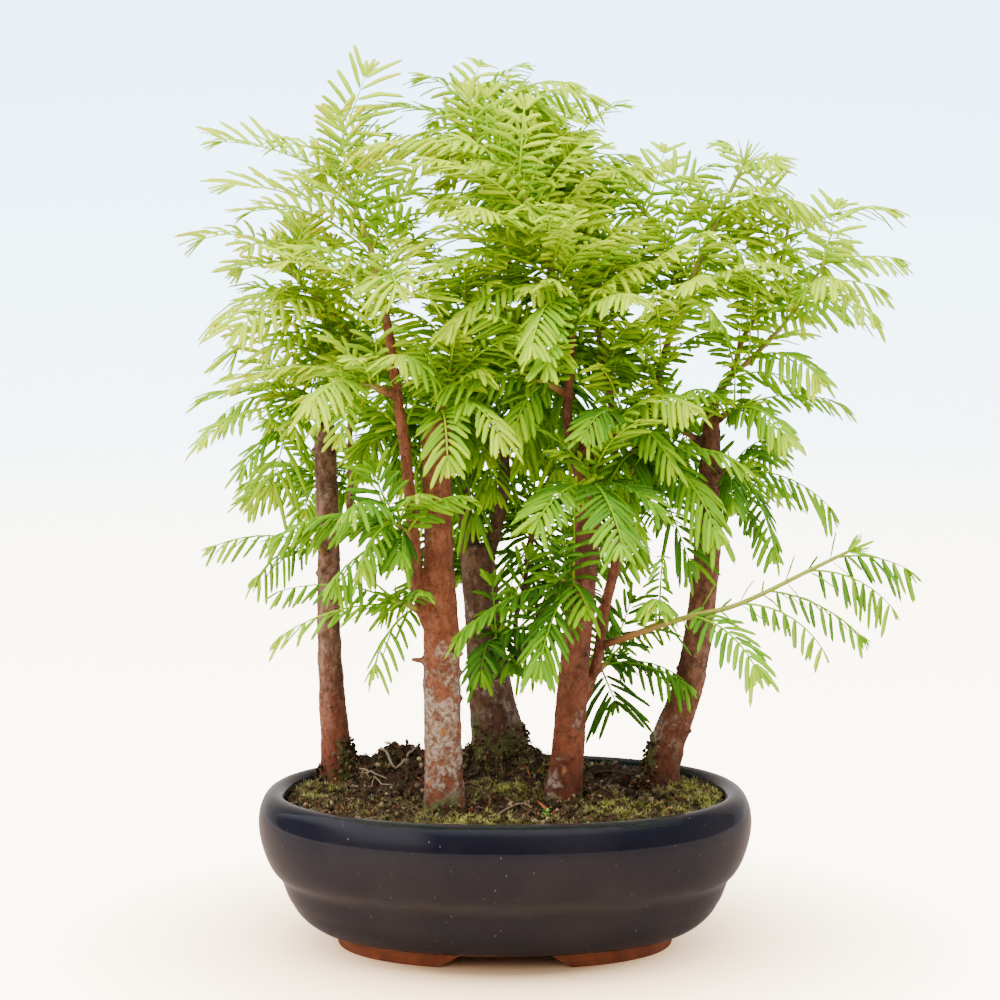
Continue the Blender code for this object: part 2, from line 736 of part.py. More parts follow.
def spur(shoot):
    """The short woody spur that carries a shoot, as a path that ends flat under it."""
    path = shoot_stems(shoot)[0]
    start, after = path[0].to_3d(), path[1].to_3d()
    away = (after - start).normalized()
    end = start - away * GAP
    rows = [(*(end - away * SPUR_LENGTH), SPUR_RADIUS * SPUR_FLARE), (*end, SPUR_RADIUS)]
    return [Vector(row) for row in rows]


def wood_skins(name):
    """The trunk, its branches and the spurs of its shoots, each as vertices and faces."""
    skins = [tube(trunk_path(name), TRUNK_SIDES, KNOBS)]
    carried = [shoot for shoot in SHOOTS.values() if shoot["wood"] == name]
    for number, knots in enumerate(BRANCHES[name]):
        path = smooth_path(knots, BRANCH_STEP)
        for shoot in carried:
            if shoot.get("branch") == number:
                path[-1] = spur(shoot)[-1]
        skins.append(tube(path, BRANCH_SIDES))
    for shoot in carried:
        if "branch" not in shoot:
            skins.append(tube(spur(shoot), SPUR_SIDES))
    return skins


def make_wood(name):
    skins = wood_skins(name)
    finish = material("bark_" + name[-1], WOOD_COLOURS[name], 0.85)
    wood = mesh_object(name, *skins[0], finish)
    boolean(wood, [mesh_object("branch", *skin) for skin in skins[1:]], "UNION")
    shade_round(wood, 50)
    return wood


class Frond:
    """One frond: a rib from its root inside the stem to its tip, with needles on both sides."""

    def __init__(self, node, root, tip, arch, roll):
        self.node, self.root, self.tip, self.roll = node, root, tip, roll
        run = tip - root
        self.length = run.length
        upright = abs(run.normalized().z) > UPRIGHT
        lift = Vector((0, -1, 0)) if upright else Vector((0, 0, 1))
        self.lift = (lift - run.normalized() * lift.dot(run.normalized())).normalized()
        self.arch = arch * self.length

    def centre(self, share):
        return self.root.lerp(self.tip, share) + self.lift * (4 * self.arch * share * (1 - share))

    def frame(self, share):
        """The direction along the rib, out to its left, and out of its upper face."""
        along = (self.centre(share + RIB_STEP) - self.centre(share - RIB_STEP)).normalized()
        left = self.lift.cross(along).normalized()
        left = Matrix.Rotation(self.roll, 3, along) @ left
        return along, left, along.cross(left)

    def pairs(self):
        """How many pairs of leaflets its length takes."""
        return max(FEWEST_PAIRS, round((self.length - FIRST_LEAFLET) / PAIR_SPACING))


def needle_length(share):
    """Short needles at the foot of a frond, the longest past its middle and short at its tip."""
    return NEEDLE_LENGTH * (NEEDLE_LEAST + NEEDLE_SWELL * math.sin(math.pi * share))


def blade_skin(frond, grown=0.0):
    """A frond cut to its rib in slim leaflets, one thin arched blade on a pointed foot.

    The two faces meet in one point at the root and at each leaflet's tip. grown widens it all round.
    """
    count = frond.pairs()
    start = FIRST_LEAFLET / frond.length
    span = LAST_LEAFLET - start
    sides = {1: [], -1: []}
    for k in range(count + 1):
        share = start + span * k / count
        along, left, face = frond.frame(share)
        for hand, points in sides.items():
            points.append((frond.centre(share) + left * hand * (RIB_HALF_WIDTH + grown), face))
        if k == count:
            break
        share = start + span * (k + LEAFLET_MIDDLE) / count
        along, left, face = frond.frame(share)
        length = needle_length(share) + grown
        sweep = math.radians(SWEEP_FOOT + (SWEEP_TIP - SWEEP_FOOT) * share)
        reach = along * math.cos(sweep) * length - face * length * DROOP
        for hand, points in sides.items():
            out = left * hand * math.sin(sweep) * length
            points.append((frond.centre(share) + reach + out, None))
    end = frond.tip + (frond.tip - frond.root).normalized() * grown
    outline = [(frond.root, None)] + sides[1] + [(end, None)] + sides[-1][::-1]
    half = FROND_THICKNESS / 2 + grown
    vertices = [point + face * half if face else point for point, face in outline]
    below = list(range(len(outline)))
    for k, (point, face) in enumerate(outline):
        if face:
            below[k] = len(vertices)
            vertices.append(point - face * half)
    total = len(outline)
    sheet = [(0, 1, total - 1)]
    for k in range(count):
        a, tip_left, b = 2 * k + 1, 2 * k + 2, 2 * k + 3
        c, tip_right, d = total - a, total - tip_left, total - b
        sheet += [(a, b, tip_left), (c, tip_right, d), (a, c, d), (a, d, b)]
    sheet.append((2 * count + 1, 2 * count + 3, 2 * count + 2))
    faces = sheet + [tuple(below[i] for i in reversed(face)) for face in sheet]
    for k in range(total):
        after = (k + 1) % total
        for wall in ((k, after, below[after]), (k, below[after], below[k])):
            if len(set(wall)) == 3:
                faces.append(wall)
    return vertices, faces


def tree_of(skin):
    vertices, faces = skin
    return BVHTree.FromPolygons([tuple(v) for v in vertices], faces)


def fine_points(path):
    """Points close together along a path."""
    points = []
    for start, end in zip(path, path[1:]):
        pieces = max(1, round((end - start).length / ROOT_STEP))
        points += [start.lerp(end, k / pieces).to_3d() for k in range(pieces)]
    return points + [path[-1].to_3d()]


def place_on(stem, tip, taken):
    """What it costs to grow a frond to this tip from a stem, and the root where that is least."""
    points = fine_points(stem)
    choices = []
    for behind, point, ahead in zip(points, points[1:], points[2:]):
        run = tip - point
        cost = abs(math.degrees(run.angle(ahead - behind)) - LEAVING_ANGLE)
        cost += max(0.0, run.length - LONGEST_FROND) * COST_LONG
        cost += max(0.0, SHORTEST_FROND - run.length) * COST_SHORT
        cost += sum(COST_ROOT for other in taken if (other - point).length < ROOT_SPACING)
        choices.append((cost, point))
    return min(choices, key=lambda choice: choice[0])


def seen_fronds(name, shoot):
    """The fronds whose tips the shoot lists, as node, root and tip."""
    taken = []
    for tip in map(Vector, shoot["tips"]):
        choices = [place_on(stem, tip, taken) for stem in shoot_stems(shoot)]
        root = min(choices, key=lambda choice: choice[0])[1]
        taken.append(root)
        length = min(LONGEST_FROND, (tip - root).length)
        yield name, root, root + (tip - root).normalized() * length


def far_fronds(name, shoot, rng):
    """The fronds that fill a shoot's far side, as node, root and tip."""
    stems = shoot_stems(shoot)
    for number in range(shoot["far"]):
        points = fine_points(stems[number % len(stems)])
        share = FAR_FROM + (FAR_TO - FAR_FROM) * (number + rng.random()) / shoot["far"]
        place = int(share * (len(points) - 2)) + 1
        root = points[place]
        along = (points[place + 1] - root).normalized()
        heading = Vector(rng.uniform(low, high) for low, high in FAR_HEADINGS)
        across = (heading - along * heading.dot(along)).normalized()
        lean = math.radians(LEAVING_ANGLE)
        run = along * math.cos(lean) + across * math.sin(lean)
        yield name, root, root + run * rng.uniform(*FAR_LENGTHS)


def turned(run, turn, pitch):
    """A frond's run swung round the upright by one angle, and up or down by another."""
    level = Vector((-run.y, run.x, 0)).normalized() if run.xy.length > 1 else Vector((1, 0, 0))
    run = Matrix.Rotation(math.radians(pitch), 3, level) @ run
    return Matrix.Rotation(math.radians(turn), 3, "Z") @ run


def place_fronds():
    """Turns each frond until it clears the wood, the other shoots and their fronds."""
    rng = random.Random(SEED)
    wanted = [frond for name, shoot in SHOOTS.items() for frond in seen_fronds(name, shoot)]
    wanted += [frond for name, shoot in SHOOTS.items() for frond in far_fronds(name, shoot, rng)]
    wood = [tree_of(skin) for name in TRUNKS for skin in wood_skins(name)]
    grown_on = {
        name: [tree_of(tube(path, STEM_SIDES)) for path in shoot_stems(shoot)]
        for name, shoot in SHOOTS.items()
    }
    own_fronds = {name: [] for name in SHOOTS}
    placed = []
    for name, root, tip in wanted:
        arch = rng.uniform(*ARCHES)
        roll = math.radians(rng.uniform(-ROLL, ROLL))
        in_the_way = wood + [tree for other in SHOOTS if other != name for tree in grown_on[other]]
        choices = []
        for pitch in PITCHES:
            for turn in TURNS:
                frond = Frond(name, root, root + turned(tip - root, turn, pitch), arch, roll)
                skin = blade_skin(frond, CLEARANCE)
                blade = tree_of(skin)
                if min(point.z for point in skin[0]) < LOWEST_NEEDLE:
                    continue
                if any(blade.overlap(tree) for tree in in_the_way):
                    continue
                cost = sum(len(blade.overlap(tree)) for tree in own_fronds[name]) * COST_CROSSING
                cost += abs(turn) * COST_TURN + abs(pitch) * COST_PITCH
                choices.append((cost, frond, blade))
        if choices:
            _, frond, blade = min(choices, key=lambda choice: choice[0])
            placed.append(frond)
            own_fronds[name].append(blade)
            grown_on[name].append(tree_of(blade_skin(frond)))
    return placed


def make_shoot(name, fronds):
    stems = [tube(path, STEM_SIDES) for path in shoot_stems(SHOOTS[name])]
    finish = material(name.replace("shoot", "leaf"), LEAF_GREEN, 0.5)
    shoot = mesh_object(name, *stems[0], finish)
    pieces = [mesh_object("stem", *stem) for stem in stems[1:]]
    pieces += [mesh_object("frond", *blade_skin(frond)) for frond in fronds]
    boolean(shoot, pieces, "UNION")
    return shoot


def stand_on_footprint(pieces):
    """Parents the pieces to an empty and moves it, so the whole is centred over x = y = 0."""
    corners = [vertex.co for piece in pieces for vertex in piece.data.vertices]
    anchor = bpy.data.objects.new("bonsai", None)
    bpy.context.scene.collection.objects.link(anchor)
    for piece in pieces:
        piece.parent = anchor
    for axis in (0, 1):
        low = min(corner[axis] for corner in corners)
        high = max(corner[axis] for corner in corners)
        anchor.location[axis] = -(low + high) / 2


def main():
    clear_scene()
    pieces = [make_pot(), make_soil()]
    pieces += [make_screen("drain_screen_left", -DRAIN_X), make_screen("drain_screen_right", DRAIN_X)]
    pieces += [make_wood(name) for name in TRUNKS]
    fronds = place_fronds()
    for name in SHOOTS:
        pieces.append(make_shoot(name, [frond for frond in fronds if frond.node == name]))
    stand_on_footprint(pieces)


main()
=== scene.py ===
"""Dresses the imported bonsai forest: glazed pot, mossy soil, bark, needles and a small photo studio.

Lengths in this file are millimetres from the middle of the pot, with X to the viewer's right, Y away
from the viewer and Z up from the table. place() turns them into the frame's metres.
"""

import random
from collections import namedtuple
from math import atan2, copysign, cos, degrees, exp, hypot, pi, radians, sin

import bmesh
import bpy
import numpy as np
from bpy.props import FloatProperty, FloatVectorProperty, IntProperty, PointerProperty
from bpy.types import Operator, Panel, PropertyGroup
from mathutils import Matrix, Vector, noise
from mathutils.bvhtree import BVHTree
from mathutils.kdtree import KDTree


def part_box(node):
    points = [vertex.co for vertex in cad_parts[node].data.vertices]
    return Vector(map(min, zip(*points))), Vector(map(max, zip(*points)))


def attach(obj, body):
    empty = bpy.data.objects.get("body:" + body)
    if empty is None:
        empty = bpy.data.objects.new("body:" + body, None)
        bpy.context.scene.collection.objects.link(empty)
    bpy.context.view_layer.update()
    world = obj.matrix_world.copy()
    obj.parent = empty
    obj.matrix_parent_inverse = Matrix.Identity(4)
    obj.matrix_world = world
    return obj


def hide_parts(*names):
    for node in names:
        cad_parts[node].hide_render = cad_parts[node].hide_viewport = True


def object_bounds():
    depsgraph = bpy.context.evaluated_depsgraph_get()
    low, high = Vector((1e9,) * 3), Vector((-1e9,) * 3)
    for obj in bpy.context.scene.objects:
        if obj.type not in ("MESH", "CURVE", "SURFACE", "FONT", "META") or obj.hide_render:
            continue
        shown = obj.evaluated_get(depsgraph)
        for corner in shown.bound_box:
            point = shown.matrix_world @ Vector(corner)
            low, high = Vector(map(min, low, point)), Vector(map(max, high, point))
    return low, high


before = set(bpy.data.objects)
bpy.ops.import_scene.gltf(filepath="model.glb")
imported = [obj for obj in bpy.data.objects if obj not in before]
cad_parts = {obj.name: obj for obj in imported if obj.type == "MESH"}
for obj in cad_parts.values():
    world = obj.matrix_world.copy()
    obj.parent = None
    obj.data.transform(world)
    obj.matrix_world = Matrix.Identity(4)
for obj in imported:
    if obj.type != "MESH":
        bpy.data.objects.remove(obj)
CAD_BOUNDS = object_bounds()

bl_info = {
    "name": "Dawn Redwood Bonsai",
    "version": (1, 0, 0),
    "blender": (4, 5, 0),
    "location": "3D View > Sidebar > Bonsai",
    "description": "Dresses a dawn redwood forest planting in its bark, needles, moss and glaze",
    "category": "Object",
}

MM = 0.001
POT_BOX = [Vector(corner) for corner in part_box("pot")]
POT_MIDDLE = Vector((*((POT_BOX[0] + POT_BOX[1]) / 2).xy, 0.0))
GAP = 0.3  # clear space between neighbouring pieces
SEED = 7
MOSS_SEED, LITTER_SEED, FIRST_SHOOT_SEED = 41, 43, 100

# The wood of trunks a to e. A row is x, y, z and radius; a trunk's first is its foot, in a plain hole.
TRUNK_SIDES = 10
BRANCH_SIDES = 5
KNOBS = 0.14  # how far knobs stand out, as a share of a trunk's radius
KNOBS_FROM = 68.0  # below this height a trunk is plainly round, as its hole is
KNOBS_FULL = 82.0
KNOB_GRAIN = Vector((1.4, 1.4, 0.055))
WOOD_STEP = 19.0
SPUR_SIDES = 4
TRUNKS = {
    "a": [(-64, 24, 38, 7.0), (-64, 24, 58, 7.0), (-65.5, 24, 73, 5.8), (-67.5, 24, 106, 4.7),
        (-67.6, 24, 145, 4.4), (-69, 24, 193, 4.3)],
    "b": [(-22, -32, 38, 7.6), (-22, -32, 58, 7.6), (-22.6, -32, 76, 7.0), (-23, -32, 115, 6.7),
        (-24, -32, 151, 5.4), (-25, -32, 198, 5.2)],
    "c": [(-2, 38, 38, 11.6), (-2, 38, 68, 11.6), (-4.5, 38, 81, 9.4), (-7.7, 38, 107, 7.6),
        (-11, 38, 146, 6.6)],
    "d": [(21, -15, 38, 7.0), (21, -15, 58, 7.0), (23, -15, 73, 6.3), (25.2, -15, 102, 5.7),
        (29.2, -15, 146, 5.1), (32.2, -15, 200, 4.7)],
    "e": [(59.5, 14, 38, 6.9), (59.5, 14, 62, 6.9), (63, 14, 75, 6.8), (70.6, 14, 97, 5.8),
        (75.9, 14, 135, 5.3), (77.4, 14, 165, 5.0), (78.1, 14, 202, 2.8)],
}
BRANCHES = {
    "a": [
        [(-66, 24, 148, 1.7), (-60, 23, 158, 1.4), (-59, 22, 184, 1.2), (-59.4, 22, 201, 1.1)],
    ],
    "b": [
        [(-24, -32, 116, 3.0), (-31, -35, 134, 2.4), (-33, -35, 159, 2.2), (-36, -34, 187, 2.1),
         (-42.4, -30, 233, 1.8)],
        [(-24, -32, 110, 1.6), (-34, -33, 111.5, 0.9)],
        [(-22, -34, 117, 1.9), (-18.5, -41, 120, 1.7)],
        [(-22, -34, 111, 1.8), (-16, -40, 115, 1.6)],
    ],
    "c": [
        [(-12, 38, 138, 3.8), (-16, 36, 164, 3.0), (-13.5, 34, 187, 2.7), (-3, 32, 220, 2.3),
         (-0.4, 30, 244, 2.0)],
        [(-8, 38, 136, 3.2), (-1, 42, 163, 2.5), (1.2, 42, 190, 2.3), (15.5, 38, 229, 1.9),
         (17.8, 35, 259, 1.6)],
        [(-6, 37, 92, 2.2), (6.6, 38, 103, 1.7), (14, 46, 118, 1.4), (19, 50, 125, 1.3)],
        [(5, 37.5, 101, 1.5), (4.3, 44, 116, 1.2), (7.5, 50, 127, 1.1), (10, 54, 144, 1.0)],
    ],
    "d": [
        [(30.5, -15, 166, 2.4), (25, -18, 184, 1.9), (22.7, -19, 199, 1.8), (24, -16, 225.5, 1.7)],
        [(25, -14, 86, 2.8), (33.5, -9, 105, 2.1), (37, -6, 126, 2.1), (43.5, 0, 152, 2.0),
         (48.5, 4, 183, 1.9), (56.5, 6, 207, 1.7)],
        [(38, -5, 129, 1.8), (41.5, -8, 153, 1.5), (40.6, -3, 191, 1.4), (39.4, 0, 203, 1.3)],
    ],
    "e": [],
}

# The leafy shoots, named for their trunks. A shoot's stems are points on their axes, and its tips are
# those of the fronds seen from the front. far is the number of fronds that a rule adds on the far
# side. A shoot with a branch goes on from that branch's end. A short woody spur carries the others.
Shoot = namedtuple("Shoot", "stems tips far branch", defaults=(0, None))
SHOOTS = {
    "a_top": Shoot([[(-66.5, 22, 194), (-59, 15, 209), (-57.4, 8, 222), (-61.3, 0, 234), (-75.3, -6, 247),
        (-82, -8, 258)]], [(-110, -12, 263), (-102, -15, 236), (-97, -35, 232), (-99, -5, 222),
        (-77, 10, 269)], far=1),
    "a_left": Shoot([[(-70.5, 22, 194), (-77, 14, 202), (-83, 8, 205)]], [(-112, 15, 205), (-109, -20, 191),
        (-107, 25, 212), (-96, 5, 176)]),
    "a_low": Shoot([[(-69, 17.5, 145), (-71, 13, 148), (-74, 9, 151)]], [(-109, 0, 149), (-94, -18, 140)]),
    "a_stem": Shoot([[(-59.4, 22, 201), (-59.6, 22, 208), (-61, 23, 214)]], [(-41, 10, 192), (-82, 44, 214),
        (-56, 50, 226)], branch=0),
    "a_back": Shoot([[(-68, 30.5, 166), (-70, 37, 170), (-73, 44, 173)]], [(-95, 62, 176), (-68, 80, 170),
        (-100, 45, 164)], far=1),
    "b_leader": Shoot([[(-42.4, -30, 233), (-47, -28, 255), (-54, -24, 274), (-62, -18, 291)]],
        [(-50, -22, 323), (-101, -30, 297), (-95, -45, 281), (-93, -10, 273), (-29, -35, 285),
        (-75, -60, 254), (-26, -55, 241), (-54, -75, 231), (-66, 20, 241)], far=2, branch=0),
    "b_low": Shoot([[(-31.5, -37.5, 130), (-35, -42, 132.5), (-39, -46, 134)]], [(-81, -40, 137),
        (-80, -60, 131), (-46, -60, 113)]),
    "b_mid": Shoot([[(-34, -38, 156), (-37, -43, 160), (-41, -47, 163)]], [(-60, -60, 143), (-80, -44, 158),
        (-53, -76, 170)]),
    "b_left": Shoot([[(-42.5, -34.5, 208), (-48, -37, 210.5), (-54, -40, 211)]], [(-92, -52, 212),
        (-66, -78, 206), (-84, -26, 222)]),
    "b_back": Shoot([[(-36, -29, 191), (-37, -23, 194), (-39, -16, 196)]], [(-62, 6, 199), (-28, 18, 200),
        (-70, -20, 207)]),
    "b_top": Shoot([[(-23.4, -31, 199.5), (-20, -28, 212), (-15.5, -26, 230), (-13.4, -24, 246)]],
        [(-20, -65, 186), (-2, -62, 194), (-38, -66, 222), (9, -50, 230)], far=1),
    "c_left": Shoot([[(-0.4, 30, 244), (2.7, 28, 264), (7.3, 26, 283), (9.5, 22, 308)]], [(21, 45, 319),
        (-14, 50, 300), (34, 60, 276), (-26, 60, 280), (20, -10, 300)], far=2, branch=0),
    "c_right": Shoot([[(17.8, 35, 259), (20.8, 33, 276), (24, 30, 293)]], [(42, 25, 314), (53, 12, 292),
        (52, 50, 299), (34, -12, 270)], far=2, branch=1),
    "c_low": Shoot([[(19, 50, 125), (22, 53, 129), (24, 57, 132)]], [(16, 92, 136), (44, 74, 108),
        (50, 66, 138)], branch=2),
    "c_front": Shoot([[(-5, 30, 106), (-4, 24, 110), (-3, 19, 112)]], [(-9, -8, 103), (14, -2, 118)]),
    "c_mid_left": Shoot([[(-15, 28.5, 191), (-17, 23, 194), (-20, 17, 195)]], [(-48, -4, 198),
        (-24, -22, 188), (-52, 20, 208), (-8, -12, 206)]),
    "c_mid_right": Shoot([[(10, 35.5, 212), (13, 31, 214), (17, 26, 215)]], [(44, 6, 212), (22, -14, 219),
        (54, 30, 217)]),
    "c_twig": Shoot([[(10, 54, 144), (11, 56, 149), (12, 60, 154)]], [(-10, 84, 158), (36, 80, 160),
        (12, 72, 180)], branch=3),
    "c_back": Shoot([[(-11, 48, 127), (-14, 54, 132), (-20, 60, 136)]], [(-48, 76, 140), (-22, 92, 128),
        (-50, 56, 128)], far=1),
    "c_back_high": Shoot([[(-10.5, 36, 199), (-16, 44, 205), (-22, 52, 211)]], [(-50, 60, 214),
        (-28, 84, 206), (-44, 40, 232), (-14, 70, 236)], far=1),
    "c_back_mid": Shoot([[(5.5, 44, 200), (10, 53, 206), (14, 62, 211)]], [(40, 72, 208), (8, 94, 204),
        (24, 80, 236)], far=1),
    "d_leader": Shoot([[(24, -16, 225.5), (23, -17, 235), (14, -24, 257), (7, -27, 277), (-5, -20, 293),
        (-17, -12, 305)], [(-11.5, -15.5, 299.5), (-9.9, -11, 306), (-4, -8, 312), (3.7, -6, 316)]],
        [(-48, -20, 309), (-52, -38, 294), (-25, -60, 289), (-13, -68, 271), (33, -30, 295), (-30, -45, 267),
        (-24, -55, 251), (44, -30, 261), (44, -60, 242), (-24, -60, 230), (28, -85, 211), (6, -80, 210),
        (32, 2, 316), (-28, -14, 324), (4, -4, 328)], far=1, branch=0),
    "d_front": Shoot([[(30.5, -20.5, 172), (31, -27, 175), (31, -33, 176)]], [(11, -68, 165),
        (34, -76, 150)]),
    "d_mid_left": Shoot([[(20, -21.5, 208), (15.5, -25, 210.5), (11, -29, 212)]], [(-24, -42, 210),
        (-6, -62, 222), (-18, -14, 227)]),
    "d_mid_front": Shoot([[(41.5, -8.5, 194), (42, -14, 196.5), (43, -20, 198)]], [(28, -56, 195),
        (64, -48, 204)]),
    "d_mid": Shoot([[(39.4, 0, 203), (37, 0, 218), (34, -2, 233), (35.3, 0, 248), (37.6, 2, 263)]],
        [(66, -30, 262), (10, 14, 262), (40, 34, 246), (64, 12, 228), (8, -6, 232)], far=1, branch=2),
    "d_tall": Shoot([[(56.5, 6, 207), (61, 4, 226), (72, -2, 256), (80.5, -6, 276), (87, -8, 290)],
        [(62, 3.5, 229), (64.5, 7, 246), (57, 10, 267), (44, 16, 282)]], [(105, -12, 304), (110, -25, 279),
        (75, 0, 315), (95, -40, 254), (102, 12, 269), (53, -40, 244), (68, -50, 231), (46, -30, 225),
        (22, 20, 296), (44, 40, 290)], far=2, branch=1),
    "d_low_right": Shoot([[(37.5, -9, 113.5), (44, -24, 118), (52, -36, 123), (66, -47, 129), (83, -51, 134),
        (110, -50, 147), (121, -48, 152)]], [(86, -75, 115), (111, -62, 119), (124, -62, 124),
        (136, -54, 133), (142, -48, 146), (52, -68, 137)], far=1),
    "d_low": Shoot([[(35, -5.5, 103.5), (38, 0, 105), (42, 4, 106)]], [(68, -8, 98), (47, 8, 77),
        (64, 24, 113)]),
    "d_low_left": Shoot([[(26, -22.3, 137), (23.5, -27, 139), (20, -31, 140)]], [(-16, -58, 124),
        (12, -62, 114)]),
    "d_fan": Shoot([[(49.5, 1.5, 184), (52, -5, 185), (55, -11, 184)]], [(75, -45, 159), (68, -10, 144),
        (84, -26, 182)]),
    "d_back": Shoot([[(44, 4.8, 156), (44, 12, 160), (42, 21, 165)]], [(38, 60, 162), (62, 44, 156),
        (18, 40, 168)], far=1),
    "e_top": Shoot([[(78.5, 14, 203.5), (86, 12, 214), (89, 10, 226), (100, 4, 246), (105, -2, 270)],
        [(85.5, 11.5, 213), (92, 6, 219), (104, -2, 233), (117, -8, 254)]], [(121, -6, 290), (138, -14, 276),
        (82, -20, 262), (70, -34, 240), (118, -40, 248), (142, -16, 256), (132, -30, 236), (113, 28, 228),
        (112, -28, 214)], far=3),
    "e_low": Shoot([[(81.5, 9.3, 197), (84.5, 5.5, 199.5), (88, 2, 201)]], [(126, 8, 202), (114, -26, 192),
        (66, -26, 208)]),
    "e_mid": Shoot([[(82, 8, 175.5), (85, 5.5, 177), (88, 4, 178)]], [(122, 2, 163), (98, -24, 150),
        (104, 28, 184)]),
    "e_left": Shoot([[(72, 16.5, 188.5), (68, 18, 191), (63, 21, 193)]], [(32, 44, 197), (58, 58, 188),
        (52, -8, 190)]),
    "e_back": Shoot([[(77.5, 21.5, 158), (79, 27, 163), (83, 35, 168)]], [(110, 56, 166), (78, 74, 160),
        (60, 58, 176)], far=1),
}

SPUR_RADIUS = 1.7
SPUR_FLARE = 1.1
SPUR_LENGTH = 6.0
STEM_RADIUS = 1.5
STEM_TIP_RADIUS = 0.9
SIDE_STEM_RADIUS = 1.1
STEM_SIDES = 4
STEM_STEP = 14.0

# The fronds
FROND_THICKNESS = 0.8
RIB_HALF_WIDTH = 0.65
RIB_STEP = 0.02  # the share of a rib over which its direction is taken
NEEDLE_LENGTH = 10.5
NEEDLE_LEAST = 0.62  # the share of that length at a frond's foot
NEEDLE_SWELL = 0.42
FIRST_LEAFLET = 4.0  # from the root, which is on the stem's axis
LAST_LEAFLET = 0.9  # as a share of the frond's length
LEAFLET_MIDDLE = 0.45
PAIR_SPACING = 9.5
FEWEST_PAIRS = 3
SWEEP_FOOT = 62.0  # degrees between a leaflet and its rib
SWEEP_TIP = 32.0
DROOP = 0.22
ARCHES = (0.08, 0.15)  # the rise of a frond's rib as a share of its length
ROLL = 24.0  # most degrees that a frond is turned on its rib
UPRIGHT = 0.85
LEAVING_ANGLE = 52.0  # degrees between a frond and the stem it grows on
SHORTEST_FROND = 26.0
LONGEST_FROND = 54.0
ROOT_SPACING = 2.2
ROOT_STEP = 1.5
FAR_LENGTHS = (34.0, 48.0)
FAR_FROM = 0.2  # far fronds grow between these shares of a stem
FAR_TO = 0.9
FAR_HEADINGS = ((-1.0, 1.0), (0.3, 1.0), (-0.4, 0.3))  # in x, y and z
LOWEST_NEEDLE = 74.0  # nothing hangs into the moss
TURNS = (0, 7, -7, 14, -14, 21, -21, 29, -29, 38, -38, 50, -50)
PITCHES = (0, 9, -9, 18, -18)
CLEARANCE = 0.45
# What a frond's place costs: a degree away from the leaving angle, a millimetre too long or too
# short, a neighbour's root too near, a crossing with its own shoot's fronds, a degree turned.
COST_LONG, COST_SHORT, COST_ROOT = 4.0, 3.0, 25.0
COST_CROSSING, COST_TURN, COST_PITCH = 1.5, 0.3, 0.4


# Small tools that every piece uses


def place(point):
    """A point in the frame's metres, from millimetres about the pot's middle."""
    return POT_MIDDLE + Vector(point[:3]) * MM


def look(name):
    """The user's settings for one group of pieces."""
    return getattr(bpy.context.scene, "bonsai_" + name)


def tone_setting(name, description, rgb):
    return FloatVectorProperty(name=name, description=description, default=rgb, subtype="COLOR")


def amount_setting(name, description, amount, least=0.0, **more):
    return FloatProperty(name=name, description=description, default=amount, min=least, **more)


def count_setting(name, description, count, least):
    return IntProperty(name=name, description=description, default=count, min=least)


def put(name, data):
    """A new object in the scene."""
    made = bpy.data.objects.new(name, data)
    bpy.context.scene.collection.objects.link(made)
    return made


def clear_selection():
    if bpy.context.object and bpy.context.object.mode != "OBJECT":
        bpy.ops.object.mode_set(mode="OBJECT")
    bpy.ops.object.select_all(action="DESELECT")


def select_only(piece):
    clear_selection()
    piece.select_set(True)
    bpy.context.view_layer.objects.active = piece


def open_edit(piece):
    """Opens a piece in edit mode with all of it selected."""
    select_only(piece)
    bpy.ops.object.mode_set(mode="EDIT")
    bpy.ops.mesh.select_mode(type="VERT")
    bpy.ops.mesh.select_all(action="SELECT")


def leave_edit():
    bpy.ops.object.mode_set(mode="OBJECT")


def open_edit_on(piece, chosen):
    """Opens a piece in edit mode with the vertices that chosen() picks selected."""
    open_edit(piece)
    bpy.ops.mesh.select_all(action="DESELECT")
    leave_edit()
    for vertex in piece.data.vertices:
        vertex.select = chosen(vertex)
    bpy.ops.object.mode_set(mode="EDIT")


def close_up():
    """Fills the selected ring, turns all faces outwards and leaves edit mode."""
    bpy.ops.mesh.edge_face_add()
    bpy.ops.mesh.select_all(action="SELECT")
    bpy.ops.mesh.normals_make_consistent(inside=False)
    leave_edit()


def smooth(piece, most):
    """Smooths a piece, apart from edges of more degrees than this."""
    select_only(piece)
    bpy.ops.object.shade_smooth_by_angle(angle=radians(most))


def apply_modifier(piece, kind, **settings):
    """Adds a modifier with these settings and applies it."""
    select_only(piece)
    step = piece.modifiers.new(kind.lower(), kind)
    for key, value in settings.items():
        setattr(step, key, value)
    bpy.ops.object.modifier_apply(modifier=step.name)


def cut(piece, cutters):
    """Cuts the cutters out of a piece and deletes them."""
    for cutter in cutters:
        apply_modifier(piece, "BOOLEAN", operation="DIFFERENCE", object=cutter, solver="EXACT")
        bpy.data.objects.remove(cutter, do_unlink=True)


def wear(piece, *finishes):
    """Gives a piece its finishes, in slot order. Clearing old ones also resets its faces' slots."""
    if piece.data.materials:
        piece.data.materials.clear()
    for finish in finishes:
        piece.data.materials.append(finish)


def settle(piece, slot, *nodes):
    """Joins a finished piece to the frame, in the place of these CAD nodes."""
    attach(piece, "root")
    if nodes:
        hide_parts(*nodes)


